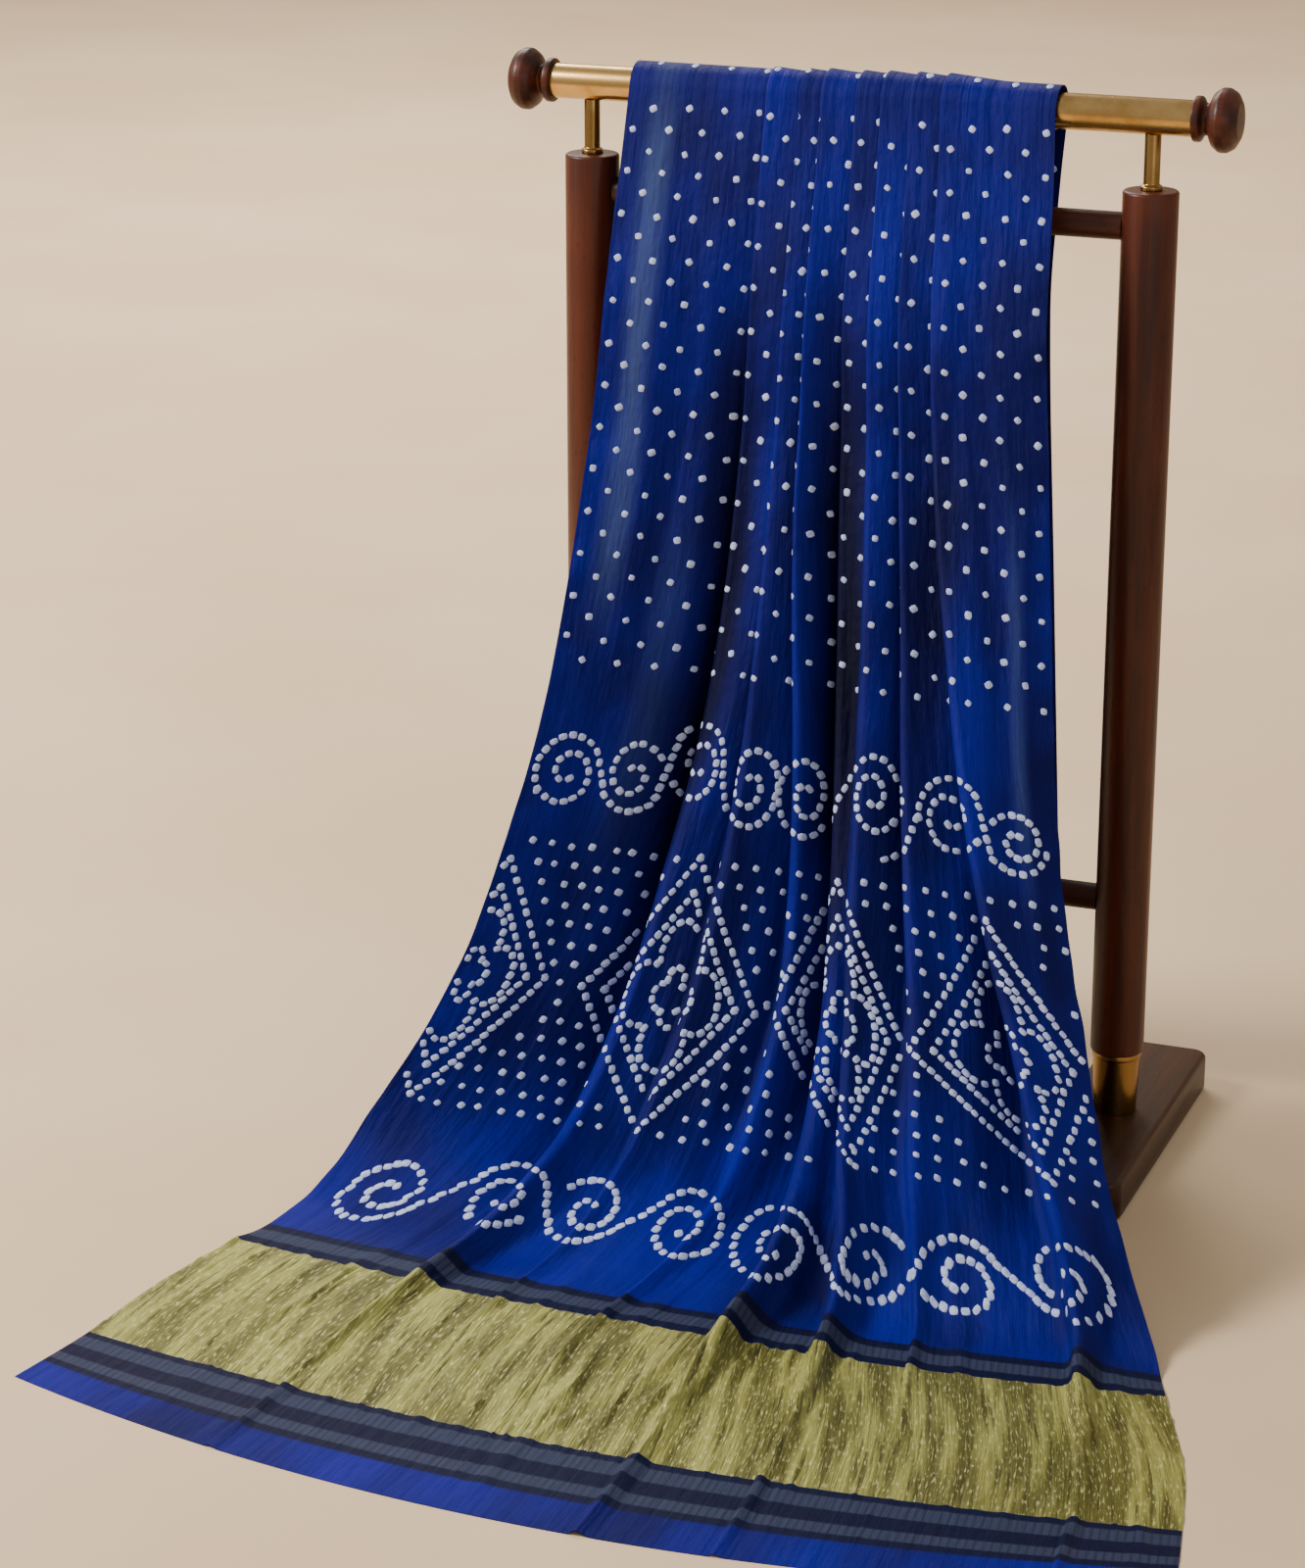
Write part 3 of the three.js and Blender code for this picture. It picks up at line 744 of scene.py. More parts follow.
def dots_piece(name, sheet, dots, material):
    """dots is a list of (width, length, half size across, half size down, turn) in millimetres."""
    lens = lens_mesh()
    bm = bmesh.new()
    for _ in dots:
        bm.from_mesh(lens)
    bpy.data.meshes.remove(lens)
    mesh = mesh_of(bm, name)
    unit = np.empty(len(mesh.vertices) * 3)
    mesh.vertices.foreach_get("co", unit)
    unit = unit.reshape(len(dots), -1, 3)
    corner = np.arctan2(unit[..., 1], unit[..., 0])
    square = 1 / np.maximum(np.abs(np.cos(corner)), np.abs(np.sin(corner))) ** DOT_SQUARENESS
    middle_width, middle_length, half_across, half_down, turn = np.array(dots, float).T[..., None]
    x = unit[..., 0] * square * half_across
    y = unit[..., 1] * square * half_down
    width = middle_width + x * np.cos(turn) - y * np.sin(turn)
    length = middle_length + x * np.sin(turn) + y * np.cos(turn)
    side = sheet.spot(width + PROBE_ASIDE, length) - sheet.spot(width - PROBE_ASIDE, length)
    down = sheet.spot(width, length + PROBE_ALONG) - sheet.spot(width, length - PROBE_ALONG)
    facing = np.cross(down, side)
    facing /= np.maximum(np.linalg.norm(facing, axis=-1, keepdims=True), TINY)
    height = np.abs(unit[..., 2])
    rise = np.sign(unit[..., 2]) * (height > 0.01) * (SHELL / 2 + DOT_RISE * (0.6 + 0.4 * height))
    places = sheet.spot(width, length) + facing * rise[..., None]
    places[..., 2] = np.maximum(places[..., 2], FLOOR_LIFT)
    mesh.vertices.foreach_set("co", to_metres(places.reshape(-1, 3)).ravel())
    layer = mesh.attributes.new("paleness", "FLOAT", "POINT")
    layer.data.foreach_set("value", np.clip(height.ravel() * PALE_GAIN, 0, 1))
    mesh.update()
    return link(name, mesh, material)


DIRECTION_STEP = 2


def dotted(path, spacing):
    """Points at even distances along a path of (across, down) points, with the path's direction."""
    path = np.array(path, float)
    run = np.concatenate([[0], np.cumsum(np.hypot(*np.diff(path, axis=0).T))])
    count = max(2, round(run[-1] / spacing))
    at = np.linspace(0, run[-1], count + 1)
    x, y = np.interp(at, run, path[:, 0]), np.interp(at, run, path[:, 1])
    ahead_x, ahead_y = (np.interp(at + DIRECTION_STEP, run, path[:, axis])
                        - np.interp(at - DIRECTION_STEP, run, path[:, axis]) for axis in (0, 1))
    return list(zip(x, y, np.arctan2(ahead_y, ahead_x)))


# The plain field's dots: their spacing, where the even and the odd rows begin as shares of it, how
# far they stray, their half sizes, their own shape and turn, and the bare edge
LATTICE_ACROSS = 37.0
LATTICE_DOWN = 21.4
LATTICE_END = 588
LATTICE_STARTS = (0.25, 0.75)
LATTICE_STRAY = 1.6
LATTICE_SIZES = (3.5, 4.3)
LATTICE_SHAPES = (0.85, 1.15)
LATTICE_TURNS = (0, 1.5)
LATTICE_EDGE = 6

chance = random.Random(5)


def lattice(begin, end):
    """The staggered small dots of the plain field, in cloth sizes."""
    dots = []
    for r in range(math.ceil(begin / LATTICE_DOWN), math.floor(end / LATTICE_DOWN) + 1):
        across = LATTICE_ACROSS * LATTICE_STARTS[r % 2]
        while across < CLOTH_WIDTH - LATTICE_EDGE:
            w = across + chance.uniform(-LATTICE_STRAY, LATTICE_STRAY)
            s = r * LATTICE_DOWN + chance.uniform(-LATTICE_STRAY, LATTICE_STRAY)
            size = chance.uniform(*LATTICE_SIZES)
            tall = size * chance.uniform(*LATTICE_SHAPES)
            dots.append((w, s, size, tall, chance.uniform(*LATTICE_TURNS)))
            across += LATTICE_ACROSS
    return dots


# The vines' angles in degrees, upwards being 90: where a stem goes on from the last arch or begins,
# with its spiral starting on the same side or not, where it runs on or ends, and how far the spiral
# turns, from its outer size to its inner one as shares of the arch's
ARC_STEP = 9
TIGHTENING = 0.85
STEM_GOES_ON = 150
STEM_BEGINS, STEM_BEGINS_APART = 215, 185
STEM_RUNS_ON = 30
STEM_ENDS, STEM_ENDS_APART = 18, -35
SPIRAL_BEGINS, SPIRAL_BEGINS_APART = 215, 35
SPIRAL_TURNS = 440
SPIRAL_SIZES = (0.96, 0.2)


def winding(curl, begin, finish, first_size, last_size):
    """An arc or spiral round a curl's centre, between two angles in degrees."""
    steps = round(abs(finish - begin) / ARC_STEP)
    points = []
    for k in range(steps + 1):
        t = k / steps
        angle = math.radians(begin + (finish - begin) * t)
        size = first_size + (last_size - first_size) * t ** TIGHTENING
        points.append((curl["share"] + curl["wide"] * size * math.cos(angle),
                       curl["length"] - curl["tall"] * size * math.sin(angle)))
    return points


def vine(curls):
    """A running stem that arches over or under each curl, with a spiral inside each arch.
    hand is the way that a spiral winds, and a linked arch runs on into the next one."""
    paths = []
    stem = []
    for curl in curls:
        side = 1 if curl["over"] else -1
        meets = side == curl["hand"]
        begin = STEM_BEGINS if meets else STEM_BEGINS_APART
        if stem:
            begin = STEM_GOES_ON
        finish = STEM_ENDS if meets else STEM_ENDS_APART
        if curl["linked"]:
            finish = STEM_RUNS_ON
        stem += winding(curl, side * begin, side * finish, 1.0, 1.0)
        if not curl["linked"]:
            paths.append(stem)
            stem = []
        start = curl["hand"] * (SPIRAL_BEGINS if meets else SPIRAL_BEGINS_APART)
        paths.append(winding(curl, start, start + curl["hand"] * SPIRAL_TURNS, *SPIRAL_SIZES))
    return paths


UPPER_VINE = table(
    "share length wide tall over hand linked",
    (0.06, 694, 0.062, 38, True, 1, True),
    (0.187, 689, 0.06, 38, False, 1, True),
    (0.308, 671, 0.051, 41, True, 1, True),
    (0.414, 685, 0.052, 42, False, 1, False),
    (0.52, 689, 0.051, 41, False, -1, True),
    (0.647, 682, 0.05, 40, True, -1, False),
    (0.792, 693, 0.06, 38, True, -1, True),
    (0.913, 709, 0.056, 31, False, -1, False),
)
UPPER_TAIL = [(0.672, 742), (0.69, 738), (0.706, 730), (0.718, 714), (0.728, 698)]
LOWER_VINE = table(
    "share length wide tall over hand linked",
    (0.075, 1155, 0.048, 42, False, -1, True),
    (0.214, 1142, 0.052, 41, True, -1, True),
    (0.324, 1139, 0.046, 41, False, -1, True),
    (0.447, 1142, 0.046, 42, True, -1, False),
    (0.563, 1148, 0.05, 46, True, 1, True),
    (0.678, 1148, 0.048, 47, False, 1, True),
    (0.789, 1150, 0.052, 45, True, 1, True),
    (0.918, 1132, 0.052, 43, False, 1, False),
)

# The corners of each diamond, as shares across the cloth and lengths down it
DIAMONDS = [
    dict(top=(0.001, 789), right=(0.122, 905), bottom=(0.007, 1044), left=(-0.14, 905)),
    dict(top=(0.34, 764), right=(0.47, 912), bottom=(0.339, 1045), left=(0.186, 908)),
    dict(top=(0.59, 770), right=(0.706, 923), bottom=(0.64, 1044), left=(0.488, 901)),
    dict(top=(0.848, 789), right=(0.995, 926), bottom=(0.919, 1034), left=(0.714, 924)),
]
# As shares of a diamond: its outlines, and its flowers' tips with each petal's middle and roundness
OUTLINES = (1.0, 0.75)
FLOWER_TIPS = (0.55, 0.22)
PETAL_MIDDLE, PETAL_ROUND = 0.57, 0.43
OUTLINE_STEPS = 8
FLOWER_STEPS = 72

# The pallu's dots: the spacing and half sizes on lines, the small dots of the field between the
# diamonds and how far outside them these begin, and where the last dots may lie
LINE_SPACING = 11.0
UPPER_SIZE, DIAMOND_SIZE, LOWER_SIZE = 4.7, 4.6, 5.2
SPACING_SHARES = (0.96, 1.04)
LONG_SHARES = (0.95, 1.15)
SHORT_SHARES = (0.75, 0.95)
LINE_STRAY, FIELD_STRAY = 0.4, 1.5
TURN_STRAY = 0.2
FIELD_TOP = 768
FIELD_ROWS = 15
FIELD_ACROSS = 22.0
FIELD_DOWN = 20.0
FIELD_STARTS = (0.8, 0.3)
FIELD_SIZES = (3.6, 4.4)
FIELD_TURN = 0.3
FIELD_SWAY = 0.004
FIELD_EDGE = 8
CLEAR_OF_DIAMONDS = 1.17
LAST_DOT = 1216
MARGIN = 4


def diamond_middle(diamond):
    return [sum(corner[axis] for corner in diamond.values()) / 4 for axis in (0, 1)]


def diamond_spot(diamond, across, down):
    """A diamond's own coordinates, -1 to 1 each way, as share across and length."""
    middle = diamond_middle(diamond)
    side = diamond["right"] if across > 0 else diamond["left"]
    end = diamond["bottom"] if down > 0 else diamond["top"]
    return tuple(m + abs(across) * (a - m) + abs(down) * (d - m)
                 for m, a, d in zip(middle, side, end))


def diamond_paths(diamond):
    """Two outlines, a flower with four petals, and a small one inside it."""
    paths = []
    for size in OUTLINES:
        corners = [(0, -size), (size, 0), (0, size), (-size, 0), (0, -size)]
        for (ax, ay), (bx, by) in zip(corners, corners[1:]):
            paths.append([
                diamond_spot(diamond, ax + (bx - ax) * k / OUTLINE_STEPS, ay + (by - ay) * k / OUTLINE_STEPS)
                for k in range(OUTLINE_STEPS + 1)])
    for tip in FLOWER_TIPS:
        middle, lobe = tip * PETAL_MIDDLE, tip * PETAL_ROUND
        flower = []
        for k in range(FLOWER_STEPS + 1):
            t = k / FLOWER_STEPS * 2 * math.pi
            aside = math.sin((t + math.pi / 4) % (math.pi / 2) - math.pi / 4)
            ahead = math.sqrt(1 - aside * aside)
            radius = middle * ahead + math.sqrt(lobe * lobe - (middle * aside) ** 2)
            flower.append(diamond_spot(diamond, radius * math.cos(t), radius * math.sin(t)))
        paths.append(flower)
    return paths


def diamond_distance(share, length):
    """How far out a spot is from the nearest diamond: 1 on its outline."""
    distances = []
    for diamond in DIAMONDS:
        middle = diamond_middle(diamond)
        side = diamond["right"] if share > middle[0] else diamond["left"]
        end = diamond["bottom"] if length > middle[1] else diamond["top"]
        across = abs(share - middle[0]) / abs(side[0] - middle[0])
        down = abs(length - middle[1]) / abs(end[1] - middle[1])
        distances.append(across + down)
    return min(distances)


def pallu_dots(sheet):
    """The vines, the row of diamonds with their flowers, and the small dots between them."""
    dots = []

    def add(share, length, wide, tall, turn, stray):
        spot = sheet.showing(share, length)
        if spot and spot[1] < LAST_DOT and MARGIN < spot[0] < CLOTH_WIDTH - MARGIN:
            w, s = (value + chance.uniform(-stray, stray) for value in spot)
            dots.append((w, s, wide, tall, turn + chance.uniform(-TURN_STRAY, TURN_STRAY)))

    def add_path(path, size):
        flat = []
        for share, length in path:
            left, right = edges(length)
            flat.append((left + share * (right - left), length))
        for x, length, turn in dotted(flat, LINE_SPACING * chance.uniform(*SPACING_SHARES)):
            left, right = edges(length)
            add((x - left) / (right - left), length, size * chance.uniform(*LONG_SHARES),
                size * chance.uniform(*SHORT_SHARES), turn, LINE_STRAY)

    diamonds = [path for diamond in DIAMONDS for path in diamond_paths(diamond)]
    for paths, size in ((vine(UPPER_VINE) + [UPPER_TAIL], UPPER_SIZE), (vine(LOWER_VINE), LOWER_SIZE),
                        (diamonds, DIAMOND_SIZE)):
        for path in paths:
            add_path(path, size)
    for r in range(FIELD_ROWS):
        length = FIELD_TOP + r * FIELD_DOWN
        left, right = edges(length)
        x = left + FIELD_ACROSS * FIELD_STARTS[r % 2]
        while x < right - FIELD_EDGE:
            share = (x - left) / (right - left)
            if diamond_distance(share, length) > CLEAR_OF_DIAMONDS:
                size = chance.uniform(*FIELD_SIZES)
                share += chance.uniform(-FIELD_SWAY, FIELD_SWAY)
                add(share, length, size, size, FIELD_TURN, FIELD_STRAY)
            x += FIELD_ACROSS
    return dots


# Finishes

def cloth_coordinates(tree):
    """The cloth's own coordinates in metres: (vector, across, down, depth in a hollow or crease trough,
    which the silk uses for painted shade).
    """
    place = node(tree, "Attribute", attribute_name="cloth_place").outputs["Vector"]
    parts = node(tree, "SeparateXYZ", {"Vector": place})
    vector = stretched(place, (1, 1, 0))
    return vector, parts.outputs["X"], parts.outputs["Y"], parts.outputs["Z"]


def stripe(value, low, high, soft=0.002):
    """1 between two values, in metres, with soft edges."""
    middle, half = (low + high) / 2, (high - low) / 2
    away = calc("ABSOLUTE", calc("SUBTRACT", value, middle))
    return remap(away, half + soft, half - soft)


LIT_BLUE = colour(15, 15, 134)
DEEP_BLUE = colour(4, 6, 80)
VIOLET_BLUE = colour(8, 16, 92)
# Painted shade: the near black that the silk darkens towards in hollows and crease troughs
HOLLOW_SHADE_BLUE = colour(0, 0, 14)
SHEEN_BLUE = colour(66, 84, 132)
STRIPE_GREY = colour(50, 56, 80)
STRIPE_NAVY = colour(9, 13, 46)
TIED_PALE, TIED_WHITE = colour(168, 184, 236), colour(206, 216, 248)
ZARI_OLIVE, ZARI_GOLD = colour(104, 101, 38), colour(162, 160, 80)
ZARI_CREASE_SHADE, ZARI_GLINT = colour(78, 74, 18), colour(222, 218, 146)
WOOD_DARK, WOOD_RED = colour(46, 14, 4), colour(84, 33, 13)
WOOD_PORE, WOOD_WORN, WOOD_SHADE_BLACK = colour(24, 7, 2), colour(108, 52, 26), colour(12, 5, 2)
BRASS_PALE, BRASS_TARNISH, BRASS_SHADE_BROWN = colour(208, 170, 108), colour(172, 134, 76), colour(108, 74, 28)
FLOOR_PALE, FLOOR_WARM = colour(225, 194, 155), colour(231, 203, 167)

# Painted sheen: streaks painted lighter into the silk where it would shine: the place across, begin and end
# down, and width, in metres
PAINTED_SHEEN_STREAKS = table(
    "across start end width strength",
    (0.038, 0.02, 0.5, 0.024, 0.8),
    (1.075, 0.42, 0.74, 0.012, 0.4),
    (0.105, 0.46, 0.72, 0.03, 0.3),
)
STREAK_FADE = 0.08
STRIPE_EDGE = 0.0012
SILK_THREADS = 420.0
ZARI_RIBS = 300.0


def silk(name, stripes=()):
    """Tie-dyed silk: an uneven deep blue, fine weave, soft creases and a low sheen, with painted sheen
    streaks and painted shade in its hollows and crease troughs.
    """
    material, tree, shader = new_material(name)
    vector, across, down, depth = cloth_coordinates(tree)
    cloudy = noise(stretched(vector, (7, 4, 1)), 1.0, 3.0)
    threads = noise(stretched(vector, (170, 9, 1)), 1.0, 3.0, 0.6)
    base = blend(remap(cloudy, 0.3, 0.7), DEEP_BLUE, LIT_BLUE)
    base = blend(remap(threads, 0.45, 0.9, 0, 0.16), base, VIOLET_BLUE)
    # Painted sheen: lighter streaks blended into the base colour
    for streak in PAINTED_SHEEN_STREAKS:
        away = calc("ABSOLUTE", calc("SUBTRACT", across, streak["across"]))
        here = remap(away, streak["width"], 0.0)
        long = stripe(down, streak["start"], streak["end"], STREAK_FADE)
        share = calc("MULTIPLY", calc("MULTIPLY", here, long), streak["strength"])
        share = calc("MULTIPLY", share, remap(threads, 0.2, 0.8, 0.5, 1.0))
        base = blend(share, base, SHEEN_BLUE)
    # Painted shade: darker the deeper the place lies in a hollow or crease trough
    base = blend(remap(depth, 0.0, 0.02, 0, 0.86), base, HOLLOW_SHADE_BLUE)
    for low, high, tone in stripes:
        share = stripe(down, low, high, STRIPE_EDGE)
        if tone is STRIPE_GREY:
            chain = bands(stretched(vector, (42, 0, 0)), 1.0, 0.0, "X")
            share = calc("MULTIPLY", share, remap(chain, 0.05, 0.4, 0.62, 1.0))
        base = blend(share, base, tone)
    crinkle = noise(stretched(vector, (95, 12, 1)), 1.0, 3.0, 0.55)
    puckers = noise(vector, 70.0, 2.0)
    warp, weft = (bands(vector, SILK_THREADS, 0.4, way) for way in "XY")
    soft = bump(puckers, 0.0012, 1.0, bump(crinkle, 0.0024))
    feed(tree, shader, {
        "Base Color": base,
        "Roughness": remap(threads, 0.2, 0.8, 0.42, 0.6),
        "Normal": bump(calc("ADD", warp, weft), 0.00012, 0.7, soft),
        "Sheen Weight": 0.04,
        "Sheen Roughness": 0.4,
        "Sheen Tint": (0.5, 0.6, 1.0, 1),
        "Specular IOR Level": 0.1,
    })
    return material


def tied_dot():
    """A tied dot: pale in the middle, with the blue creeping in at its edge."""
    material, tree, shader = new_material("tied_dot")
    pale = node(tree, "Attribute", attribute_name="paleness").outputs["Fac"]
    spotted = noise(node(tree, "TexCoord").outputs["Object"], 260.0, 2.0)
    tone = blend(remap(spotted, 0.35, 0.65), TIED_PALE, TIED_WHITE)
    base = blend(remap(pale, 0.05, 0.6), LIT_BLUE, tone)
    feed(tree, shader, {"Base Color": base, "Roughness": 0.6, "Specular IOR Level": 0.3})
    return material


def zari():
    """Woven gold thread: olive gold with fine slanted streaks, darker in their troughs as painted shade,
    little glints painted lighter and a ribbed weave.
    """
    material, tree, shader = new_material("gold_zari")
    vector = cloth_coordinates(tree)[0]
    leaning = stretched(vector, (1, 1, 1), (0, 0, 0.07))
    streaks = noise(stretched(leaning, (150, 9, 1)), 1.0, 3.0, 0.6)
    broad = noise(stretched(leaning, (38, 5, 1)), 1.0, 2.0)
    glint = noise(stretched(leaning, (520, 90, 1)), 1.0, 2.0)
    base = blend(remap(broad, 0.4, 0.6), ZARI_OLIVE, ZARI_GOLD)
    # Painted shade: darker where the streaks' noise, also the bump's height, is low, in the creases' troughs
    base = blend(remap(streaks, 0.48, 0.34, 0, 0.85), base, ZARI_CREASE_SHADE)
    # Painted highlight: glints blended lighter into the colour
    base = blend(remap(glint, 0.54, 0.7, 0, 0.8), base, ZARI_GLINT)
    ribs = bands(vector, ZARI_RIBS, 0.6, "Y")
    soft = bump(calc("ADD", streaks, broad), 0.0035)
    feed(tree, shader, {
        "Base Color": base,
        "Metallic": 0.35,
        "Roughness": remap(glint, 0.3, 0.7, 0.52, 0.34),
        "Normal": bump(ribs, 0.0002, 0.8, soft),
    })
    return material


def wood(name, grain_axis, shade_to_black=0.0):
    """Dark stained wood with its grain along the piece; the last argument, up to 1 for black, darkens all of
    it as painted shade.
    """
    material, tree, shader = new_material(name)
    place = node(tree, "TexCoord").outputs["Object"]
    scale = [46, 46, 46]
    scale[grain_axis] = 2.6
    grain = noise(stretched(place, scale), 1.0, 5.0, 0.62)
    scale[grain_axis] = 14
    pores = noise(stretched(place, [6 * s for s in scale]), 1.0, 2.0, 0.5)
    worn = noise(place, 9.0, 2.0)
    base = blend(remap(grain, 0.32, 0.68), WOOD_DARK, WOOD_RED)
    base = blend(remap(pores, 0.62, 0.76, 0, 0.6), base, WOOD_PORE)
    base = blend(remap(worn, 0.5, 0.8, 0, 0.25), base, WOOD_WORN)
    # Painted shade: the whole colour darkened towards black by the last argument
    feed(tree, shader, {
        "Base Color": blend(shade_to_black, base, WOOD_SHADE_BLACK),
        "Roughness": remap(grain, 0.2, 0.8, 0.5, 0.36),
        "Normal": bump(pores, 0.0004, 0.6, bump(grain, 0.0006, 0.6)),
        "Specular IOR Level": 0.3,
        "Coat Weight": 0.1,
        "Coat Roughness": 0.3,
    })
    return material


def aged_brass(name, brushed_axis, shade_to_brown=0.0):
    """Brass with faint drawn lines along it and uneven tarnish; the last argument makes all of it browner as
    painted shade.
    """
    material, tree, shader = new_material(name)
    place = node(tree, "TexCoord").outputs["Object"]
    scale = [700, 700, 700]
    scale[brushed_axis] = 14
    lines = noise(stretched(place, scale), 1.0, 2.0)
    tarnish = noise(place, 24.0, 4.0, 0.6)
    base = blend(remap(tarnish, 0.35, 0.7), BRASS_PALE, BRASS_TARNISH)
    # Painted shade: the whole colour blended towards brown by the last argument
    feed(tree, shader, {
        "Base Color": blend(shade_to_brown, base, BRASS_SHADE_BROWN),
        "Metallic": 1.0,
        "Roughness": remap(tarnish, 0.3, 0.75, 0.22, 0.34),
        "Normal": bump(lines, 0.00004, 0.4),
    })
    return material


# Turned and bevelled pieces of the stand, in millimetres from the floor under the rail's middle

BEVEL_STEPS = 4
ROUND_STEPS, DOWEL_STEPS, PIN_STEPS = 72, 48, 40
STAND_SHARP = math.radians(42)


def turned(outline, rounding, steps=ROUND_STEPS):
    """A solid turned on the Z axis from (radius, height) pairs, with its corners rounded."""
    bm = bmesh.new()
    verts = [bm.verts.new((radius * MM, 0, height * MM)) for radius, height in outline]
    for pair in zip(verts, verts[1:]):
        bm.edges.new(pair)
    bmesh.ops.bevel(bm, geom=verts[1:-1], offset=rounding * MM, offset_type="OFFSET",
                    affect="VERTICES", segments=BEVEL_STEPS, profile=0.5, material=-1)
    bmesh.ops.spin(bm, geom=bm.verts[:] + bm.edges[:], cent=(0, 0, 0), axis=(0, 0, 1),
                   angle=2 * math.pi, steps=steps, use_merge=True)
    bmesh.ops.remove_doubles(bm, verts=bm.verts, dist=MERGED)
    bmesh.ops.recalc_face_normals(bm, faces=bm.faces)
    return bm


def stand_piece(name, bm, turn, place, material, replaced):
    move = Matrix.Translation(Vector(place) * MM + stand_place) @ turn
    bmesh.ops.transform(bm, matrix=move, verts=bm.verts)
    link(name, mesh_of(bm, name, STAND_SHARP), material, replaced)


UPRIGHT = Matrix.Identity(4)
ALONG_X = Matrix.Rotation(math.pi / 2, 4, "Y")
AGAINST_X = Matrix.Rotation(-math.pi / 2, 4, "Y")

RAIL_HALF = 330
POST_X = 290
POST_RADIUS = 27.5
POST_TOP = 1002
POST_ROUNDING = 3
FOOT_WIDTH, FOOT_DEPTH, FOOT_THICKNESS = 109, 380, 42
FOOT_CORNER, FOOT_RIM = 16, 5
FERRULE_HEIGHT = 66.5
POST_START = FOOT_THICKNESS + FERRULE_HEIGHT
CROSS_RADIUS = 13.7
CROSS_HEIGHTS = {"upper": 965.3, "lower": 272.7}
PIN_HEIGHT = RAIL_HEIGHT - POST_TOP - RAIL_RADIUS + 1
SUNK = 2

# Outlines of what is turned: (radius, height) pairs
FINIAL = [(0, 0), (22, 0), (22, 7), (16, 10), (15, 14), (26, 19), (31, 26), (31, 33), (27, 40),
          (18, 45), (0, 45)]
CUP = [(0, 0), (22, 0), (24.5, FERRULE_HEIGHT - 6), (25.5, FERRULE_HEIGHT - 5),
       (25.5, FERRULE_HEIGHT), (0, FERRULE_HEIGHT)]
PIN = [(0, 0), (11, 0), (11, 4), (8, 6), (8, PIN_HEIGHT), (0, PIN_HEIGHT)]


def rod(radius, length):
    return [(0, 0), (radius, 0), (radius, length), (0, length)]


def foot_block():
    """A wooden block with rounded corners and softened edges."""
    bm = bmesh.new()
    bmesh.ops.create_cube(bm, size=1)
    bmesh.ops.scale(bm, vec=Vector((FOOT_WIDTH, FOOT_DEPTH, FOOT_THICKNESS)) * MM, verts=bm.verts)
    for upright, offset, steps in ((True, FOOT_CORNER, 2 * BEVEL_STEPS), (False, FOOT_RIM, BEVEL_STEPS)):
        edges_cut = [e for e in bm.edges
                     if (abs(e.verts[0].co.z - e.verts[1].co.z) > MERGED) == upright]
        bmesh.ops.bevel(bm, geom=edges_cut, offset=offset * MM, offset_type="OFFSET",
                        affect="EDGES", segments=steps, profile=0.5, material=-1)
    bmesh.ops.recalc_face_normals(bm, faces=bm.faces)
    return bm


def make_stand():
    wood_up, wood_across = wood("dark_wood_upright", 2), wood("dark_wood_across", 0)
    # The foot's wood is darkened halfway to black as painted shade
    wood_foot = wood("dark_wood_foot_shaded", 1, 0.5)
    # The upright brass of the ferrules and pins is browned halfway as painted shade
    brass_across, brass_up = aged_brass("aged_brass_rail", 0), aged_brass("aged_brass_upright_shaded", 2, 0.5)
    stand_piece("rail_tube", turned(rod(RAIL_RADIUS, 2 * RAIL_HALF), 0.6), ALONG_X,
                (-RAIL_HALF, 0, RAIL_HEIGHT), brass_across, "brass_rail")
    for side, sign, outwards in (("left", -1, AGAINST_X), ("right", 1, ALONG_X)):
        x = sign * POST_X
        post = rod(POST_RADIUS, POST_TOP - POST_START)
        for name, bm, turn, place, material, slot_name, replaced in (
            ("knob", turned(FINIAL, 1.6), outwards, (sign * RAIL_HALF, 0, RAIL_HEIGHT),
             wood_across, "dark_wood", "finial"),
            ("round_post", turned(post, POST_ROUNDING), UPRIGHT, (x, 0, POST_START),
             wood_up, "dark_wood", "post"),
            ("brass_cup", turned(CUP, 0.5), UPRIGHT, (x, 0, FOOT_THICKNESS),
             brass_up, "aged_brass", "ferrule"),
            ("brass_pin", turned(PIN, 0.8, PIN_STEPS), UPRIGHT, (x, 0, POST_TOP),
             brass_up, "aged_brass", "pin"),
            ("foot_block", foot_block(), UPRIGHT, (x, 0, FOOT_THICKNESS / 2),
             wood_foot, "dark_wood", "foot"),
        ):
            stand_piece(f"{name}_{side}", bm, turn, place, material, f"{replaced}_{side}")
    inner = POST_X - POST_RADIUS + SUNK
    for name, height in CROSS_HEIGHTS.items():
        stand_piece("dowel_" + name, turned(rod(CROSS_RADIUS, 2 * inner), 0.5, DOWEL_STEPS), ALONG_X,
                    (-inner, 0, height), wood_across, "cross_rail_" + name)


# Building the cloth

# The rows' steps down each stretch of cloth, and how far the dots keep from its ends
BODY_STEP, PALLU_STEP, ZARI_STEP, END_STEP, RAIL_STEP, BACK_STEP = 6.2, 5.1, 2.6, 3.4, 2.6, 14
BODY_GAP, RAIL_GAP, BACK_GAP = 4, 5, 8

# Begin, end and colour of the stripes, in metres down the cloth
PALLU_STRIPES = [(1.224, 1.262, STRIPE_NAVY), (1.234, 1.250, STRIPE_GREY)]
END_STRIPES = [(1.495, 1.562, STRIPE_NAVY), (1.504, 1.522, STRIPE_GREY), (1.540, 1.553, STRIPE_GREY)]


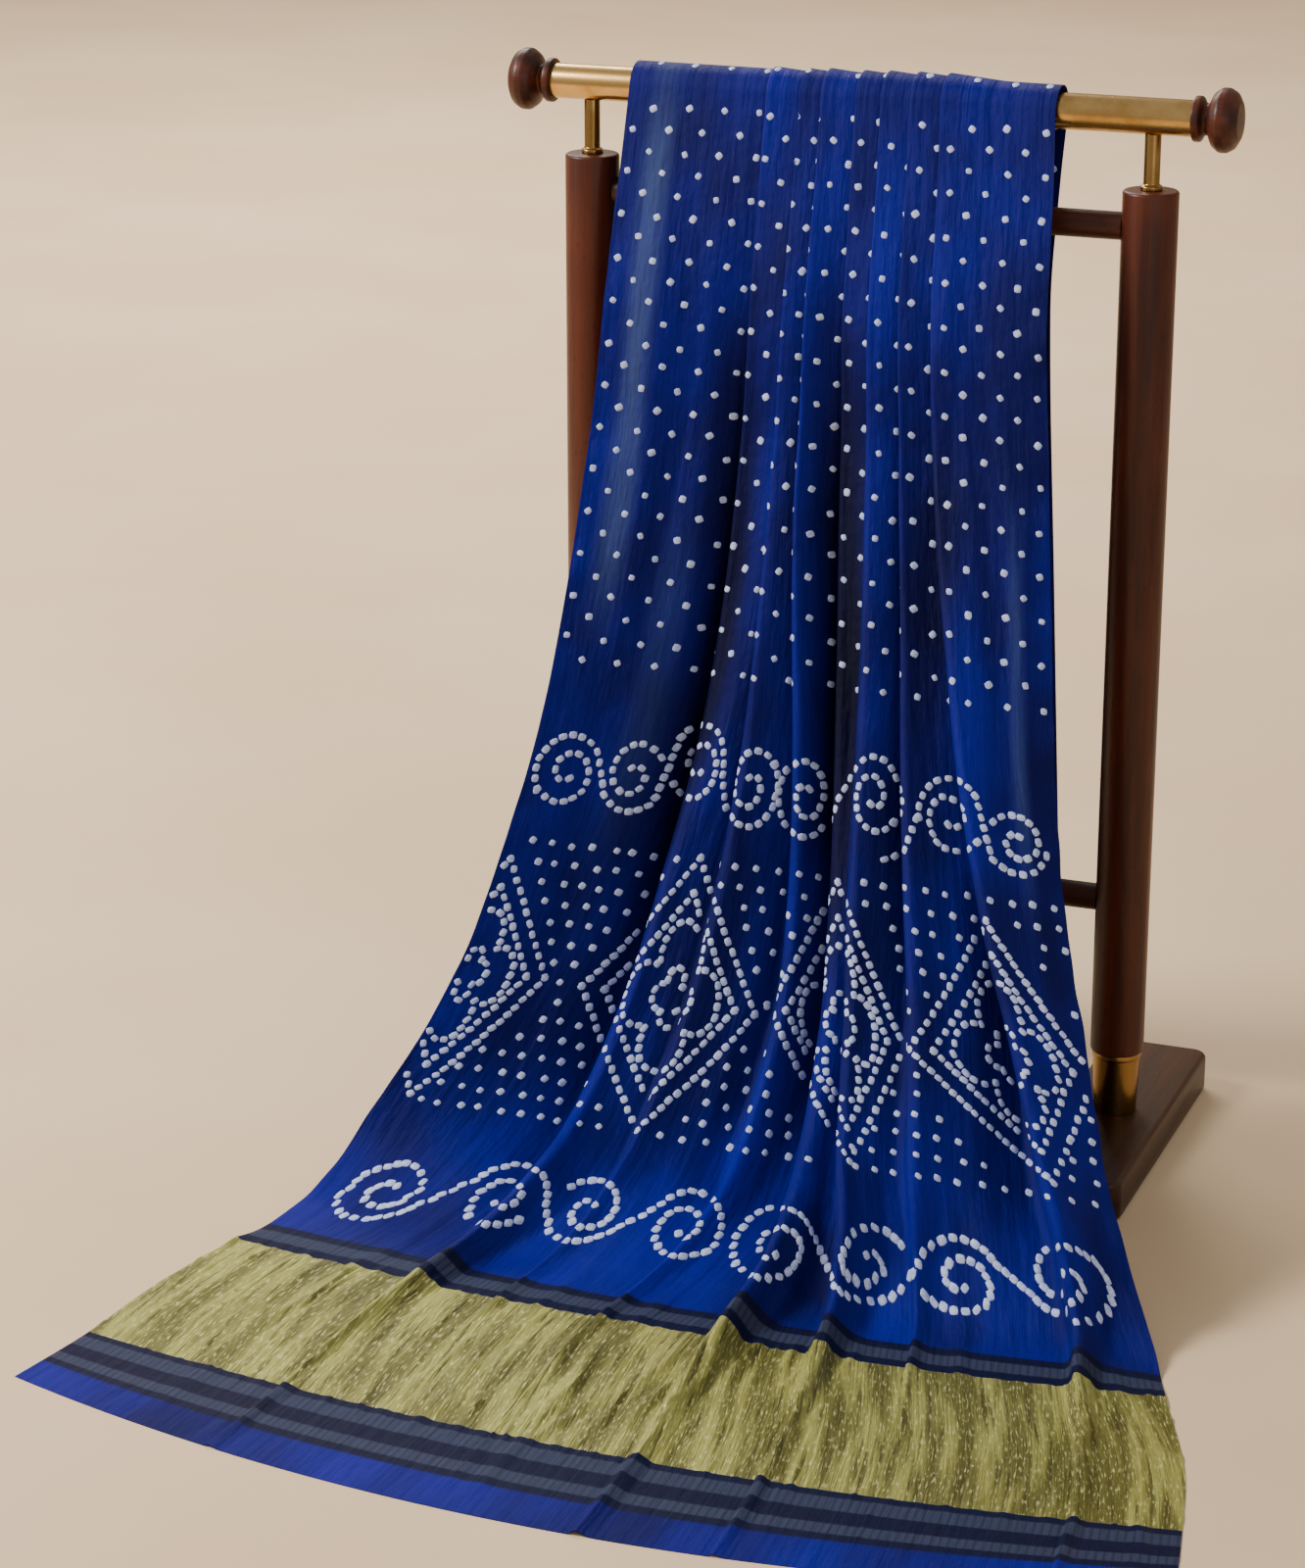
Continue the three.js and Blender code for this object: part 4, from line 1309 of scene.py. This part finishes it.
def make_cloth():
    plain = silk("tie_dyed_silk")
    pallu_silk = silk("tie_dyed_silk_pallu", PALLU_STRIPES)
    end_silk = silk("tie_dyed_silk_end", END_STRIPES)
    gold = zari()
    dot = tied_dot()
    front = Sheet(FRONT, front_path, np.unique(np.concatenate([
        rows_between(0, BODY_END, BODY_STEP),
        rows_between(BODY_END, PALLU_END, PALLU_STEP),
        rows_between(PALLU_END, ZARI_END, ZARI_STEP),
        rows_between(ZARI_END, CLOTH_END, END_STEP),
    ])), CREASES, False)
    over = Sheet(FRONT, rail_path, rows_between(0, WRAP_LENGTH, RAIL_STEP), [], True, over_rail=True)
    back = Sheet(BACK, back_path, rows_between(0, BACK_LENGTH, BACK_STEP), BACK_CREASES, True)
    stretches = [
        ("saree_on_rail", over, 0, WRAP_LENGTH, plain, "saree_silk", "saree_over_rail"),
        ("saree_body", front, 0, BODY_END, plain, "saree_silk", "saree_body_front"),
        ("saree_pallu_end", front, BODY_END, PALLU_END, pallu_silk, "saree_silk", "saree_pallu"),
        ("zari_band", front, PALLU_END, ZARI_END, gold, "zari_weave", "saree_zari_band"),
        ("plain_end", front, ZARI_END, CLOTH_END, end_silk, "border_weave", "saree_end_border"),
        ("saree_behind", back, 0, BACK_LENGTH, plain, "saree_silk", "saree_back_fall"),
    ]
    pieces = [cloth_piece(*stretch) for stretch in stretches]
    body_dots = dots_piece("dots_on_body", front, lattice(BODY_GAP, LATTICE_END), dot)
    end_dots = dots_piece("dots_on_pallu", front, pallu_dots(front), dot)
    rail_dots = dots_piece("dots_on_rail", over, lattice(RAIL_GAP, WRAP_LENGTH - RAIL_GAP), dot)
    back_dots = dots_piece("dots_behind", back, lattice(BACK_GAP, BACK_LENGTH - BACK_GAP), dot)


# The room, in metres: the floor's reach to each side, and how it runs back and curves up
FLOOR_REACH = 18
FLOOR_PROFILE = [(-18, 0), (12, 0), (13, 0.2), (13.7, 0.8), (14, 2), (14, 8)]
LAMPS = table(
    "name place aim size energy tint",
    ("key_light", (-3.5, -1.5, 3.5), (0, 0, 0.5), 1.5, 290, (1, 0.97, 0.92)),
    ("fill_light", (3.2, -3.6, 2.2), (0, 0, 0.5), 2.6, 24, (1, 0.98, 0.96)),
    ("far_light", (-3.2, 4.4, 4.4), (-2.6, 4.9, 0), 3.2, 350, (1, 0.97, 0.92)),
)
ROOM_LIGHT = (1, 0.97, 0.93, 1)
ROOM_STRENGTH = 0.5


def make_floor():
    """A wide pale floor that curves up far behind."""
    material, tree, shader = new_material("pale_floor")
    soft = noise(node(tree, "TexCoord").outputs["Object"], 1.4, 3.0)
    base = blend(remap(soft, 0.3, 0.7), FLOOR_PALE, FLOOR_WARM)
    feed(tree, shader, {"Base Color": base, "Roughness": 0.9})
    bm = bmesh.new()
    verts = [bm.verts.new((-FLOOR_REACH, y, z)) for y, z in FLOOR_PROFILE]
    drawn = bmesh.ops.extrude_edge_only(
        bm, edges=[bm.edges.new(pair) for pair in zip(verts, verts[1:])])["geom"]
    bmesh.ops.translate(bm, vec=(2 * FLOOR_REACH, 0, 0),
                        verts=[part for part in drawn if isinstance(part, bmesh.types.BMVert)])
    bmesh.ops.recalc_face_normals(bm, faces=bm.faces)
    mesh = mesh_of(bm, "floor")
    mesh.materials.append(material)
    floor = bpy.data.objects.new("floor", mesh)
    bpy.context.scene.collection.objects.link(floor)


def make_lights():
    """Soft studio light from square lamps and the room."""
    for lamp in LAMPS:
        data = bpy.data.lights.new(lamp["name"], "AREA")
        data.shape = "SQUARE"
        data.size, data.energy, data.color = lamp["size"], lamp["energy"], lamp["tint"]
        light = bpy.data.objects.new(lamp["name"], data)
        light.location = lamp["place"]
        aim = Vector(lamp["aim"]) - Vector(lamp["place"])
        light.rotation_euler = aim.to_track_quat("-Z", "Y").to_euler()
        bpy.context.scene.collection.objects.link(light)
    world = bpy.data.worlds.new("studio")
    world.use_nodes = True
    feed(world.node_tree, world.node_tree.nodes["Background"],
         {"Color": ROOM_LIGHT, "Strength": ROOM_STRENGTH})
    bpy.context.scene.world = world


make_cloth()
make_stand()
make_floor()
make_lights()
